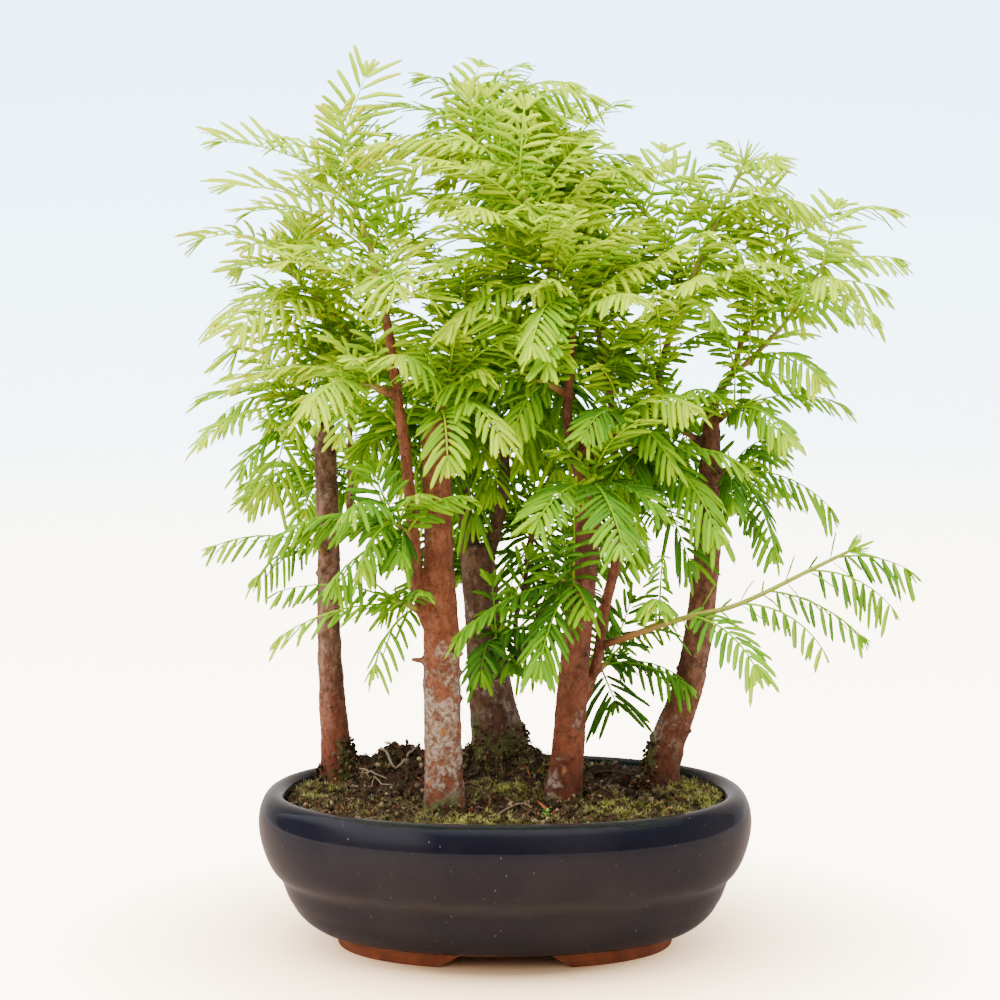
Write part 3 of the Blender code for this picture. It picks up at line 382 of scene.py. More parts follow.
class Growth:
    """The points, faces, tints and slot numbers of a piece while it grows, in millimetres."""

    def __init__(self):
        self.points, self.faces, self.tints, self.slots, self.count = [], [], [], [], 0

    def add_many(self, shapes, faces, tints, slot=0):
        """Copies of one shape: an array of copies by points by 3, and tints to match."""
        copies, size = shapes.shape[:2]
        for start in range(self.count, self.count + copies * size, size):
            self.faces += [tuple(i + start for i in face) for face in faces]
        self.points.append(shapes.reshape(-1, 3))
        self.tints.append(np.broadcast_to(tints, (copies, size, 4)).reshape(-1, 4))
        self.slots += [slot] * (len(faces) * copies)
        self.count += copies * size

    def add(self, points, faces, tints, slot=0):
        self.add_many(np.asarray(points, dtype=float)[None], faces, tints, slot)

    def piece(self, name):
        mesh = bpy.data.meshes.new(name)
        metres = np.vstack(self.points) * MM + np.array(POT_MIDDLE)
        mesh.from_pydata(metres.tolist(), [], self.faces)
        mesh.polygons.foreach_set("material_index", np.asarray(self.slots, dtype=np.int32))
        layer = mesh.color_attributes.new("tint", "FLOAT_COLOR", "POINT")
        layer.data.foreach_set("color", np.vstack(self.tints).astype(np.float32).ravel())
        mesh.shade_smooth()
        return put(name, mesh)


# Materials as formulas of wires


class Wire:
    """The output of a shader node. A sum or a product of wires makes the node that works it out."""

    def __init__(self, socket):
        self.socket, self.tree = socket, socket.id_data

    def __add__(self, other):
        return maths("ADD", self, other)

    def __sub__(self, other):
        return maths("SUBTRACT", self, other)

    def __rsub__(self, other):
        return maths("SUBTRACT", other, self)

    def __mul__(self, other):
        return maths("MULTIPLY", self, other)

    __radd__, __rmul__ = __add__, __mul__

    def part(self, name):
        """The X, Y or Z of a place, or the Red, Green or Blue of a colour."""
        kind, key = ("SeparateXYZ", "Vector") if name in "XYZ" else ("SeparateColor", "Color")
        return add(self.tree, kind, name, {key: self})

    def also(self, output):
        """The wire from another output of the same node."""
        return Wire(self.socket.node.outputs[output])


def tree_of_wires(*parts):
    return next(part.tree for part in parts if isinstance(part, Wire))


def feed(node, inputs):
    """Gives a node's inputs their wires or values."""
    for key, value in inputs.items():
        if isinstance(value, Wire):
            node.id_data.links.new(value.socket, node.inputs[key])
        else:
            node.inputs[key].default_value = value


def add(tree, kind, output, inputs, **settings):
    """Adds a node to a tree and gives the wire from one of its outputs."""
    node = tree.nodes.new("ShaderNode" + kind)
    node.location = (220 * (len(tree.nodes) % 12), -260 * (len(tree.nodes) // 12))
    for key, value in settings.items():
        setattr(node, key, value)
    feed(node, inputs)
    return Wire(node.outputs[output])


def maths(operation, first, second=0.0):
    return add(tree_of_wires(first, second), "Math", "Value", {0: first, 1: second}, operation=operation)


def colour(rgb):
    return rgb if isinstance(rgb, Wire) else (*rgb, 1.0)


def ramp(factor, stops):
    """The wire of a colour ramp over stops of position and colour."""
    made = add(factor.tree, "ValToRGB", "Color", {"Fac": factor})
    elements = made.socket.node.color_ramp.elements
    for k, (position, rgb) in enumerate(stops):
        stop = elements[k] if k < 2 else elements.new(position)
        stop.position, stop.color = position, colour(rgb)
    return made


def mask(value, low, high):
    """0 below low and 1 above high, with an even rise between; high may be the smaller."""
    return add(value.tree, "MapRange", "Result", {"Value": value, "From Min": low, "From Max": high})


def blend(factor, first, second):
    """Two colours mixed by a factor."""
    inputs = {0: factor, 6: colour(first), 7: colour(second)}
    return add(tree_of_wires(factor, first, second), "Mix", 2, inputs, data_type="RGBA")


def speckle(here, scale, detail=4.0, roughness=0.55, distortion=0.0):
    """Noise of this scale, from 0 to 1."""
    return add(here.tree, "TexNoise", "Fac", {"Vector": here, "Scale": scale, "Detail": detail,
                                              "Roughness": roughness, "Distortion": distortion})


def bump(height, distance, strength=1.0):
    inputs = {"Height": height, "Distance": distance, "Strength": strength}
    return add(height.tree, "Bump", "Normal", inputs)


def new_group(name, inputs, outputs):
    """A node group; gives its input wires by name, and the node that takes its results."""
    tree = bpy.data.node_groups.new(name, "ShaderNodeTree")
    for in_out, sockets in (("INPUT", inputs), ("OUTPUT", outputs)):
        for label, kind in sockets.items():
            tree.interface.new_socket(name=label, in_out=in_out, socket_type="NodeSocket" + kind)
    given = tree.nodes.new("NodeGroupInput")
    return {label: Wire(given.outputs[label]) for label in inputs}, tree.nodes.new("NodeGroupOutput")


def new_finish(name):
    """A node material; gives it with its Principled shader and the place on the piece, in metres."""
    finish = bpy.data.materials.new(name)
    finish.use_nodes = True
    tree = finish.node_tree
    return finish, tree.nodes["Principled BSDF"], add(tree, "TexCoord", "Object", {})


def painted(here, name="tint"):
    """The colour that a piece's own paint gives at a place."""
    return add(here.tree, "Attribute", "Color", {}, attribute_name=name)


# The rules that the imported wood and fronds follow


def squared(vector, axis):
    """A vector's part at right angles to an axis, made one long."""
    return (vector - axis * vector.dot(axis)).normalized()


def leaning(along, across, angle):
    """The direction that leaves one direction for another by an angle."""
    return along * cos(angle) + across * sin(angle)


def beside(axis, turn):
    """A direction at right angles to an axis, turned round it."""
    return Matrix.Rotation(turn, 3, axis) @ axis.orthogonal().normalized()


def ring_skin(rings):
    """Vertices and faces of a closed skin over rings of equal count, with both ends capped."""
    count = len(rings[0])
    vertices = [point for ring in rings for point in ring]
    faces = []
    for level in range(len(rings) - 1):
        for k in range(count):
            a, b = level * count + k, level * count + (k + 1) % count
            faces.append((a, b, b + count, a + count))
    faces.append(tuple(reversed(range(count))))
    faces.append(tuple(range((len(rings) - 1) * count, len(rings) * count)))
    return vertices, faces


def smooth_path(knots, step):
    """Rows of x, y, z and radius about a step apart, on a smooth curve through the knots."""
    rows = [Vector(knot) for knot in knots]
    rows = [2 * rows[0] - rows[1]] + rows + [2 * rows[-1] - rows[-2]]
    path = []
    for before, start, end, after in zip(rows, rows[1:], rows[2:], rows[3:]):
        pieces = max(1, round((end - start).length / step))
        for k in range(pieces):
            t = k / pieces
            path.append(0.5 * (2 * start + (end - before) * t
                               + (2 * before - 5 * start + 4 * end - after) * t * t
                               + (3 * start - before - 3 * end + after) * t * t * t))
    return path + [rows[-2]]


def tapered(points, first, last):
    """Stem points with a radius that falls evenly from the first to the last."""
    most = len(points) - 1
    return [(*point, first + (last - first) * k / most) for k, point in enumerate(points)]


def directions(path):
    """The direction of travel at each row of a path."""
    points = [row.to_3d() for row in path]
    found = []
    for k in range(len(points)):
        ahead, behind = points[min(k + 1, len(points) - 1)], points[max(k - 1, 0)]
        found.append((ahead - behind).normalized())
    return found


def tube(path, sides, knobs=0.0):
    """Vertices and faces of a closed round bar along a path, with flat ends."""
    along = directions(path)
    side = along[0].orthogonal().normalized()
    if abs(along[0].z) > 0.99:
        side = Vector((1, 0, 0))
    rings = []
    for row, tangent in zip(path, along):
        side = squared(side, tangent)
        other = tangent.cross(side)
        knobbly = knobs * min(1.0, max(0.0, (row.z - KNOBS_FROM) / (KNOBS_FULL - KNOBS_FROM)))
        ring = []
        for k in range(sides):
            angle = 2 * pi * k / sides
            spoke = leaning(side, other, angle)
            bump = noise.noise(Vector((spoke.x, spoke.y, row.z)) * KNOB_GRAIN)
            ring.append(row.to_3d() + spoke * row.w * (1 + knobbly * bump))
        rings.append(ring)
    return ring_skin(rings)


def shoot_stems(shoot):
    """The shoot's stems as smooth paths; the first starts just clear of the wood."""
    stems = []
    for number, points in enumerate(shoot.stems):
        rows = tapered(points, SIDE_STEM_RADIUS if number else STEM_RADIUS, STEM_TIP_RADIUS)
        stems.append(smooth_path(rows, STEM_STEP))
    first = stems[0]
    start = first[0].to_3d()
    away = (first[1].to_3d() - start).normalized()
    first[0] = Vector((*(start + away * GAP), STEM_RADIUS))
    return stems


def spur(shoot):
    """The short woody spur that carries a shoot, as a path that ends flat under it."""
    path = shoot_stems(shoot)[0]
    start, after = path[0].to_3d(), path[1].to_3d()
    away = (after - start).normalized()
    end = start - away * GAP
    rows = [(*(end - away * SPUR_LENGTH), SPUR_RADIUS * SPUR_FLARE), (*end, SPUR_RADIUS)]
    return [Vector(row) for row in rows]


def wood_paths(name, step):
    """The axes of a trunk, plumb in its hole, of its branches and of its shoots' spurs."""
    carried = [shoot for key, shoot in SHOOTS.items() if key[0] == name]
    trunk = [Vector(TRUNKS[name][0])] + smooth_path(TRUNKS[name][1:], step)
    branches = [smooth_path(knots, step) for knots in BRANCHES[name]]
    for shoot in carried:
        if shoot.branch is not None:
            branches[shoot.branch][-1] = spur(shoot)[-1]
    return trunk, branches, [spur(shoot) for shoot in carried if shoot.branch is None]


def wood_trees():
    """All the wood, ready for tests of what crosses it."""
    skins = []
    for name in TRUNKS:
        trunk, branches, spurs = wood_paths(name, WOOD_STEP)
        skins.append(tube(trunk, TRUNK_SIDES, KNOBS))
        skins += [tube(path, BRANCH_SIDES) for path in branches]
        skins += [tube(path, SPUR_SIDES) for path in spurs]
    return [tree_of(skin) for skin in skins]


class Frond:
    """One frond: a rib from its root inside the stem to its tip, with needles on both sides."""

    def __init__(self, node, root, tip, arch, roll):
        self.node, self.root, self.tip, self.roll = node, root, tip, roll
        run = tip - root
        self.length = run.length
        upright = abs(run.normalized().z) > UPRIGHT
        lift = Vector((0, -1, 0)) if upright else Vector((0, 0, 1))
        self.lift = squared(lift, run.normalized())
        self.arch = arch * self.length

    def centre(self, share):
        return self.root.lerp(self.tip, share) + self.lift * (4 * self.arch * share * (1 - share))

    def frame(self, share):
        """The direction along the rib, out to its left, and out of its upper face."""
        along = (self.centre(share + RIB_STEP) - self.centre(share - RIB_STEP)).normalized()
        left = self.lift.cross(along).normalized()
        left = Matrix.Rotation(self.roll, 3, along) @ left
        return along, left, along.cross(left)

    def pairs(self):
        """How many pairs of leaflets its length takes."""
        return max(FEWEST_PAIRS, round((self.length - FIRST_LEAFLET) / PAIR_SPACING))


def needle_length(share):
    """Short needles at the foot of a frond, the longest past its middle and short at its tip."""
    return NEEDLE_LENGTH * (NEEDLE_LEAST + NEEDLE_SWELL * sin(pi * share))


def blade_skin(frond, grown=0.0):
    """A frond cut to its rib in slim leaflets, one thin arched blade on a pointed foot.

    The two faces meet in one point at the root and at each leaflet's tip. grown widens it all round.
    """
    count = frond.pairs()
    start = FIRST_LEAFLET / frond.length
    span = LAST_LEAFLET - start
    sides = {1: [], -1: []}
    for k in range(count + 1):
        share = start + span * k / count
        along, left, face = frond.frame(share)
        for hand, points in sides.items():
            points.append((frond.centre(share) + left * hand * (RIB_HALF_WIDTH + grown), face))
        if k == count:
            break
        share = start + span * (k + LEAFLET_MIDDLE) / count
        along, left, face = frond.frame(share)
        length = needle_length(share) + grown
        sweep = radians(SWEEP_FOOT + (SWEEP_TIP - SWEEP_FOOT) * share)
        reach = along * cos(sweep) * length - face * length * DROOP
        for hand, points in sides.items():
            out = left * hand * sin(sweep) * length
            points.append((frond.centre(share) + reach + out, None))
    end = frond.tip + (frond.tip - frond.root).normalized() * grown
    outline = [(frond.root, None)] + sides[1] + [(end, None)] + sides[-1][::-1]
    half = FROND_THICKNESS / 2 + grown
    vertices = [point + face * half if face else point for point, face in outline]
    below = list(range(len(outline)))
    for k, (point, face) in enumerate(outline):
        if face:
            below[k] = len(vertices)
            vertices.append(point - face * half)
    total = len(outline)
    sheet = [(0, 1, total - 1)]
    for k in range(count):
        a, tip_left, b = 2 * k + 1, 2 * k + 2, 2 * k + 3
        c, tip_right, d = total - a, total - tip_left, total - b
        sheet += [(a, b, tip_left), (c, tip_right, d), (a, c, d), (a, d, b)]
    sheet.append((2 * count + 1, 2 * count + 3, 2 * count + 2))
    faces = sheet + [tuple(below[i] for i in reversed(face)) for face in sheet]
    for k in range(total):
        after = (k + 1) % total
        for wall in ((k, after, below[after]), (k, below[after], below[k])):
            if len(set(wall)) == 3:
                faces.append(wall)
    return vertices, faces


def tree_of(skin):
    vertices, faces = skin
    return BVHTree.FromPolygons([tuple(v) for v in vertices], faces)


def fine_points(path):
    """Points close together along a path."""
    points = []
    for start, end in zip(path, path[1:]):
        pieces = max(1, round((end - start).length / ROOT_STEP))
        points += [start.lerp(end, k / pieces).to_3d() for k in range(pieces)]
    return points + [path[-1].to_3d()]


def place_on(stem, tip, taken):
    """What it costs to grow a frond to this tip from a stem, and the root where that is least."""
    points = fine_points(stem)
    choices = []
    for behind, point, ahead in zip(points, points[1:], points[2:]):
        run = tip - point
        cost = abs(degrees(run.angle(ahead - behind)) - LEAVING_ANGLE)
        cost += max(0.0, run.length - LONGEST_FROND) * COST_LONG
        cost += max(0.0, SHORTEST_FROND - run.length) * COST_SHORT
        cost += sum(COST_ROOT for other in taken if (other - point).length < ROOT_SPACING)
        choices.append((cost, point))
    return min(choices, key=lambda choice: choice[0])


def seen_fronds(name, shoot):
    """The fronds whose tips the shoot lists, as node, root and tip."""
    taken = []
    for tip in map(Vector, shoot.tips):
        choices = [place_on(stem, tip, taken) for stem in shoot_stems(shoot)]
        root = min(choices, key=lambda choice: choice[0])[1]
        taken.append(root)
        length = min(LONGEST_FROND, (tip - root).length)
        yield name, root, root + (tip - root).normalized() * length


def far_fronds(name, shoot, rng):
    """The fronds that fill a shoot's far side, as node, root and tip."""
    stems = shoot_stems(shoot)
    for number in range(shoot.far):
        points = fine_points(stems[number % len(stems)])
        share = FAR_FROM + (FAR_TO - FAR_FROM) * (number + rng.random()) / shoot.far
        place = int(share * (len(points) - 2)) + 1
        root = points[place]
        along = (points[place + 1] - root).normalized()
        heading = Vector(rng.uniform(low, high) for low, high in FAR_HEADINGS)
        run = leaning(along, squared(heading, along), radians(LEAVING_ANGLE))
        yield name, root, root + run * rng.uniform(*FAR_LENGTHS)


def turned(run, turn, pitch):
    """A frond's run swung round the upright by one angle, and up or down by another."""
    level = Vector((-run.y, run.x, 0)).normalized() if run.xy.length > 1 else Vector((1, 0, 0))
    run = Matrix.Rotation(radians(pitch), 3, level) @ run
    return Matrix.Rotation(radians(turn), 3, "Z") @ run


def place_fronds(wood):
    """Turns each frond until it clears the wood, the other shoots and their fronds."""
    rng = random.Random(SEED)
    wanted = [frond for name, shoot in SHOOTS.items() for frond in seen_fronds(name, shoot)]
    wanted += [frond for name, shoot in SHOOTS.items() for frond in far_fronds(name, shoot, rng)]
    grown_on = {
        name: [tree_of(tube(path, STEM_SIDES)) for path in shoot_stems(shoot)]
        for name, shoot in SHOOTS.items()
    }
    own_fronds = {name: [] for name in SHOOTS}
    placed = []
    for name, root, tip in wanted:
        arch = rng.uniform(*ARCHES)
        roll = radians(rng.uniform(-ROLL, ROLL))
        in_the_way = wood + [tree for other in SHOOTS if other != name for tree in grown_on[other]]
        choices = []
        for pitch in PITCHES:
            for turn in TURNS:
                frond = Frond(name, root, root + turned(tip - root, turn, pitch), arch, roll)
                skin = blade_skin(frond, CLEARANCE)
                blade = tree_of(skin)
                if min(point.z for point in skin[0]) < LOWEST_NEEDLE:
                    continue
                if any(blade.overlap(tree) for tree in in_the_way):
                    continue
                cost = sum(len(blade.overlap(tree)) for tree in own_fronds[name]) * COST_CROSSING
                cost += abs(turn) * COST_TURN + abs(pitch) * COST_PITCH
                choices.append((cost, frond, blade))
        if choices:
            _, frond, blade = min(choices, key=lambda choice: choice[0])
            placed.append(frond)
            own_fronds[name].append(blade)
            grown_on[name].append(tree_of(blade_skin(frond)))
    return placed


# The pot


class BonsaiPotLook(PropertyGroup):
    sides: count_setting("Sides", "Points round the oval", 128, 32)
    glaze: tone_setting("Glaze", "Colour of the glaze where it is thick", (0.0040, 0.0039, 0.0076))
    # also the colour of the painted highlight along the top of the rim
    thin_glaze_and_lip_highlight: tone_setting("Thin glaze", "Colour on ridges and edges", (0.036, 0.031, 0.029))
    clay: tone_setting("Clay", "Colour of the bare feet", (0.17, 0.046, 0.018))
    glaze_roughness: amount_setting("Glaze roughness", "How blurred reflections are", 0.09, max=1.0)


POT_LENGTH = 185.0
POT_WIDTH = 145.0
POT_SQUARENESS = 2.2
# Inset from the widest outline, and height
FOOT_RING = [(38.0, 5.5), (38.5, 0.0), (29.5, 0.0)]
INNER_WALL = [(12.2, 40.0), (18.5, 20.0), (25.0, 12.5), (33.0, 10.0)]
POT_WALL = [
    (28.5, 5.0), (24.5, 6.0), (20.3, 7.9), (16.2, 11.0), (13.6, 14.0), (12.2, 16.4), (10.6, 19.2),
    (9.2, 23.0), (8.3, 25.4), (7.1, 27.0), (5.4, 28.8), (3.7, 31.6), (1.9, 36.0), (0.5, 41.5),
    (0.0, 46.5), (0.5, 51.2), (2.2, 55.4), (4.8, 57.6), (7.4, 57.9), (9.4, 56.6), (10.4, 53.5),
] + INNER_WALL
WALL_STEP = 1.6
FOOT_TOP = 6.4
FOOT_GAP = (50.0, 32.0, 150.0, -0.6, 5.2)
DRAIN_X = 32.0
DRAIN_RADIUS = 5.5
DRAIN_SIDES = 32
DRAIN_CUT_LENGTH = 30.0
DRAIN_CUT_MIDDLE = 8.0
EDGE_ROUNDING = 0.35
ROUNDED_FROM = 50  # degrees
POT_SHARP = 38


def oval(angle, inset):
    """A point of the pot's outline moved inwards."""
    c, s = cos(angle), sin(angle)
    x = copysign(abs(c) ** (2 / POT_SQUARENESS), c) * (POT_LENGTH / 2 - inset)
    y = copysign(abs(s) ** (2 / POT_SQUARENESS), s) * (POT_WIDTH / 2 - inset)
    return x, y


def pull_up(name, rows, sides):
    """An open oval wall: a ring pulled through rows of inset and height by extruding and scaling."""
    clear_selection()
    bpy.ops.mesh.primitive_circle_add(vertices=sides, radius=1.0, location=(0, 0, 0))
    wall = bpy.context.object
    wall.name = name
    for k, vertex in enumerate(wall.data.vertices):
        vertex.co = place((*oval(2 * pi * k / sides, rows[0][0]), rows[0][1]))
    open_edit(wall)
    for (inset, z), (next_inset, next_z) in zip(rows, rows[1:]):
        bpy.ops.mesh.extrude_edges_move(TRANSFORM_OT_translate={"value": (0, 0, (next_z - z) * MM)})
        across = (POT_LENGTH / 2 - next_inset) / (POT_LENGTH / 2 - inset)
        deep = (POT_WIDTH / 2 - next_inset) / (POT_WIDTH / 2 - inset)
        bpy.ops.transform.resize(value=(across, deep, 1), center_override=tuple(POT_MIDDLE))
    return wall


def box_cutter(bottom_width, top_width, depth, low, high, x=0.0):
    """A wedge from front to back, wider at its bottom."""
    clear_selection()
    bpy.ops.mesh.primitive_cube_add(size=1.0, location=(0, 0, 0))
    cutter = bpy.context.object
    for vertex in cutter.data.vertices:
        width, z = (top_width, high) if vertex.co.z > 0 else (bottom_width, low)
        y = copysign(depth / 2, vertex.co.y)
        vertex.co = place((x + copysign(width / 2, vertex.co.x), y, z))
    return cutter


def make_pot_finish():
    """Navy glaze, thin on ridges and towards the foot, with a painted highlight in the thin-glaze colour
    along the top of the rim and fine pale dots, over bare clay feet.
    """
    settings = look("pot")
    finish, shader, here = new_finish("navy_glaze")
    height = here.part("Z")
    edge = height + (speckle(here, 60.0, 5.0) - 0.5) * 0.006
    glazed = mask(edge, (FOOT_TOP - 0.25) * MM, (FOOT_TOP + 0.25) * MM)
    clouds = mask(speckle(here, 28.0, 3.0), 0.45, 0.75)
    ridge = mask(edge, 24.0 * MM, 27.5 * MM) * mask(edge, 31.5 * MM, 28.0 * MM)
    # painted highlight along the top of the rim, in the thin-glaze colour
    lip_highlight = mask(height, 57.0 * MM, 57.8 * MM)
    low_drips = mask(edge, 12.0 * MM, FOOT_TOP * MM)
    thin = ridge * 0.24
    for layer in (lip_highlight * 0.35, clouds * 0.16, low_drips * 0.3):
        thin = maths("MAXIMUM", thin, layer)
    dots = add(here.tree, "TexVoronoi", "Distance", {"Vector": here, "Scale": 520.0})
    dot = mask(dots, 0.17, 0.06) * mask(dots.also("Color").part("Red"), 0.90, 0.98)
    glaze = blend(dot * 0.5, blend(thin, settings.glaze, settings.thin_glaze_and_lip_highlight), (0.20, 0.19, 0.19))
    grit = speckle(here, 900.0, 3.0)
    clay = blend(mask(speckle(here, 90.0), 0.35, 0.7), settings.clay, (0.085, 0.022, 0.009))
    clay = blend(mask(grit, 0.66, 0.72), clay, (0.035, 0.018, 0.012))
    satin = clouds * 0.07 + settings.glaze_roughness
    relief = speckle(here, 70.0, 2.0) * 0.12 + (1.0 - glazed) * grit * 0.35 + dot * 0.1
    feed(shader, {"Base Color": blend(glazed, clay, glaze), "Specular IOR Level": 0.5,
                  "Roughness": 0.85 - glazed * 0.85 + glazed * satin,
                  "Normal": bump(relief, 0.0007, 0.5)})
    return finish


class BONSAI_OT_pot(Operator):
    """Model the oval pot: foot ring, stepped wall, rolled rim and drain holes"""
    bl_idname = "bonsai.pot"
    bl_label = "Pot"

    def execute(self, context):
        sides = look("pot").sides
        wall = smooth_path([(inset, z, 0, 0) for inset, z in POT_WALL], WALL_STEP)
        pot = pull_up("glazed_pot", FOOT_RING + [(row.x, row.y) for row in wall], sides)
        bpy.ops.mesh.edge_face_add()
        open_edit_on(pot, lambda vertex: vertex.index < sides)
        close_up()
        cutters = [box_cutter(*FOOT_GAP)]
        for x in (-DRAIN_X, DRAIN_X):
            clear_selection()
            bpy.ops.mesh.primitive_cylinder_add(vertices=DRAIN_SIDES, radius=DRAIN_RADIUS * MM,
                                                depth=DRAIN_CUT_LENGTH * MM,
                                                location=place((x, 0, DRAIN_CUT_MIDDLE)))
            cutters.append(context.object)
        cut(pot, cutters)
        apply_modifier(pot, "BEVEL", width=EDGE_ROUNDING * MM, segments=2, limit_method="ANGLE",
                       angle_limit=radians(ROUNDED_FROM), harden_normals=False)
        smooth(pot, POT_SHARP)
        wear(pot, make_pot_finish())
        settle(pot, "glazed_clay", "pot")
        return {"FINISHED"}


class BONSAI_OT_screens(Operator):
    """Finish the plastic screens that lie over the drain holes"""
    bl_idname = "bonsai.screens"
    bl_label = "Drain screens"

    def execute(self, context):
        finish, shader, here = new_finish("screen_plastic")
        grain = speckle(here, 1400.0, 3.0)
        tone = ramp(grain, [(0.3, (0.012, 0.012, 0.012)), (0.7, (0.03, 0.03, 0.028))])
        feed(shader, {"Base Color": tone, "Roughness": mask(grain, -0.4, 1.4),
                      "Normal": bump(grain, 0.0002)})
        for name in ("drain_screen_left", "drain_screen_right"):
            wear(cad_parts[name], finish)
        return {"FINISHED"}


# The soil, its moss and what lies on it


class BonsaiSoilLook(PropertyGroup):
    granules: count_setting("Granules", "Number of crumbs of moss and soil", 4700, 100)
    tufts: count_setting("Tufts", "Number of star-shaped moss tufts", 3500, 10)
    needles: count_setting("Dead needles", "Number of dead needles on the soil", 60, 0)
    earth: tone_setting("Earth", "Colour of the bare soil", (0.015, 0.007, 0.004))
    dark_moss: tone_setting("Dark moss", "Colour of the old moss", (0.024, 0.027, 0.007))
    bright_moss: tone_setting("Bright moss", "Colour of the fresh moss", (0.34, 0.35, 0.055))
    straw: tone_setting("Straw", "Colour of dry moss tips", (0.52, 0.40, 0.21))


SOIL_SIDES = 128
SOIL_EDGE = 54.0
SOIL_WALL_GAP = 0.45
SOIL_SHARP = 60
SOIL_TOP_INSET = 10.0 + 2.5 * (57.3 - SOIL_EDGE) / 17.3  # at the inner wall
SOIL_ROWS = [(inset + SOIL_WALL_GAP, z) for inset, z in (
    (33.0, 10.3), (18.5, 20.0), (12.5, 40.0), (SOIL_TOP_INSET, SOIL_EDGE))]
SOIL_ACROSS, SOIL_DEEP = POT_LENGTH / 2 - SOIL_ROWS[-1][0], POT_WIDTH / 2 - SOIL_ROWS[-1][0]
SOIL_MOUNDS = [  # centre x and y, half-widths, height
    (-44.0, 35.0, 25.0, 16.0, 14.5),
    (-2.0, 40.0, 24.0, 18.0, 13.5),
    (34.0, 34.0, 22.0, 16.0, 5.0),
    (0.0, -5.0, 70.0, 36.0, 3.0),
]
MOUND_FALL = 0.7
SOIL_BUMPS = 1.6
SOIL_BUMP_GRAIN = 0.09
CLODS = [(5, 0.2, 2.6), (3, 0.5, 2.0), (9, 1.3, 0.7)]  # noise depth, grain, height
SCREEN_POCKET = (22.6, 22.6, 22.6, 9.0, 11.8)
BARE_PATCHES = [  # centre x and y, half-widths: dark soil without moss
    (-46.0, -4.0, 17.0, 13.0), (48.0, 12.0, 12.0, 18.0), (-30.0, 14.0, 10.0, 20.0), (6.0, -34.0, 14.0, 8.0),
]
BRIGHT_PATCHES = [  # centre x and y, half-widths: fresh yellow-green moss
    (72.0, -6.0, 12.0, 22.0), (46.0, -34.0, 17.0, 8.0), (2.0, -8.0, 10.0, 12.0), (-66.0, 2.0, 9.0, 12.0),
    (14.0, 60.0, 16.0, 8.0), (-16.0, -50.0, 18.0, 7.0),
]
SKIRTS = [  # trunk, bearing, reach round it in degrees, top, crumbs: moss that climbs a trunk
    ("a", -25, 55, 72, 260), ("a", 150, 80, 62, 90), ("c", -60, 90, 76, 330),
    ("e", 200, 50, 74, 190), ("d", 30, 60, 62, 70), ("b", -100, 150, 60, 110),
    ("b", 60, 70, 63, 70),
]
# Groups of tufts: middle x and y, spread along both, tufts
TUFT_GROUPS = [(-7.0, 18.0, 3, 6, 45), (10.0, 58.0, 2, 7, 40)]


def ramp_between(value, low, high):
    return min(1.0, max(0.0, (value - low) / (high - low)))


def edge_share(x, y):
    """0 in the pot's middle and 1 at its inner wall."""
    return (abs(x) / SOIL_ACROSS) ** POT_SQUARENESS + (abs(y) / SOIL_DEEP) ** POT_SQUARENESS


def soil_height(x, y):
    """The moss surface: low at the rim, with mounds at the back."""
    height = 0.0
    for centre_x, centre_y, half_x, half_y, top in SOIL_MOUNDS:
        reach = ((x - centre_x) / half_x) ** 2 + ((y - centre_y) / half_y) ** 2
        height = max(height, top * exp(-reach * MOUND_FALL))
    rough = noise.noise(Vector((x, y, 0)) * SOIL_BUMP_GRAIN) * SOIL_BUMPS
    return SOIL_EDGE + (height + rough) * (1 - min(1.0, edge_share(x, y)) ** 3)


def clods_at(x, y):
    """How far the clods stand out of the surface."""
    return sum(noise.noise(Vector((x, y, depth)) * grain) * height for depth, grain, height in CLODS)


def crumbly_height(x, y):
    """The same surface with its clods."""
    return soil_height(x, y) + clods_at(x, y) * (1 - min(1.0, edge_share(x, y)) ** 6)


def on_soil(x, y, above):
    return Vector((x, y, crumbly_height(x, y) + above))


def patch_cover(patches, x, y):
    """1 in the middle of the nearest patch, falling away round it."""
    return max(exp(-(((x - cx) / hx) ** 2 + ((y - cy) / hy) ** 2)) for cx, cy, hx, hy in patches)


def greenness(x, y):
    """From bare soil at 0 to the freshest moss at 1."""
    drift = 0.5 + 0.5 * noise.noise(Vector((x, y, 20)) * 0.055)
    fine = noise.noise(Vector((x, y, 31)) * 0.22)
    green = 0.12 + 0.36 * drift + 0.34 * fine + 0.55 * patch_cover(BRIGHT_PATCHES, x, y)
    return green - 0.55 * patch_cover(BARE_PATCHES, x, y)


def soil_spots(rng, count):
    """Random places on the soil, inside the wall and clear of the trunks' middles."""
    found = 0
    while found < count:
        x, y = rng.uniform(-SOIL_ACROSS, SOIL_ACROSS), rng.uniform(-SOIL_DEEP, SOIL_DEEP)
        if edge_share(x, y) > 0.985:
            continue
        if any(hypot(x - foot[0], y - foot[1]) < foot[3] for foot, *_ in TRUNKS.values()):
            continue
        found += 1
        yield x, y


def crumb(points, centre, size, rng):
    """One copy of the ball, dented and turned at random."""
    dents = np.array([rng.uniform(0.55, 1.4) for _ in points])[:, None]
    axis = rng.uniform(0, 6.28), 3, Vector((rng.random(), rng.random(), 0.3)).normalized()
    squash = np.array([rng.uniform(0.8, 1.3), rng.uniform(0.8, 1.3), rng.uniform(0.6, 1.0)])
    return (points * dents * squash) @ np.array(Matrix.Rotation(*axis)) * size + np.array(centre)


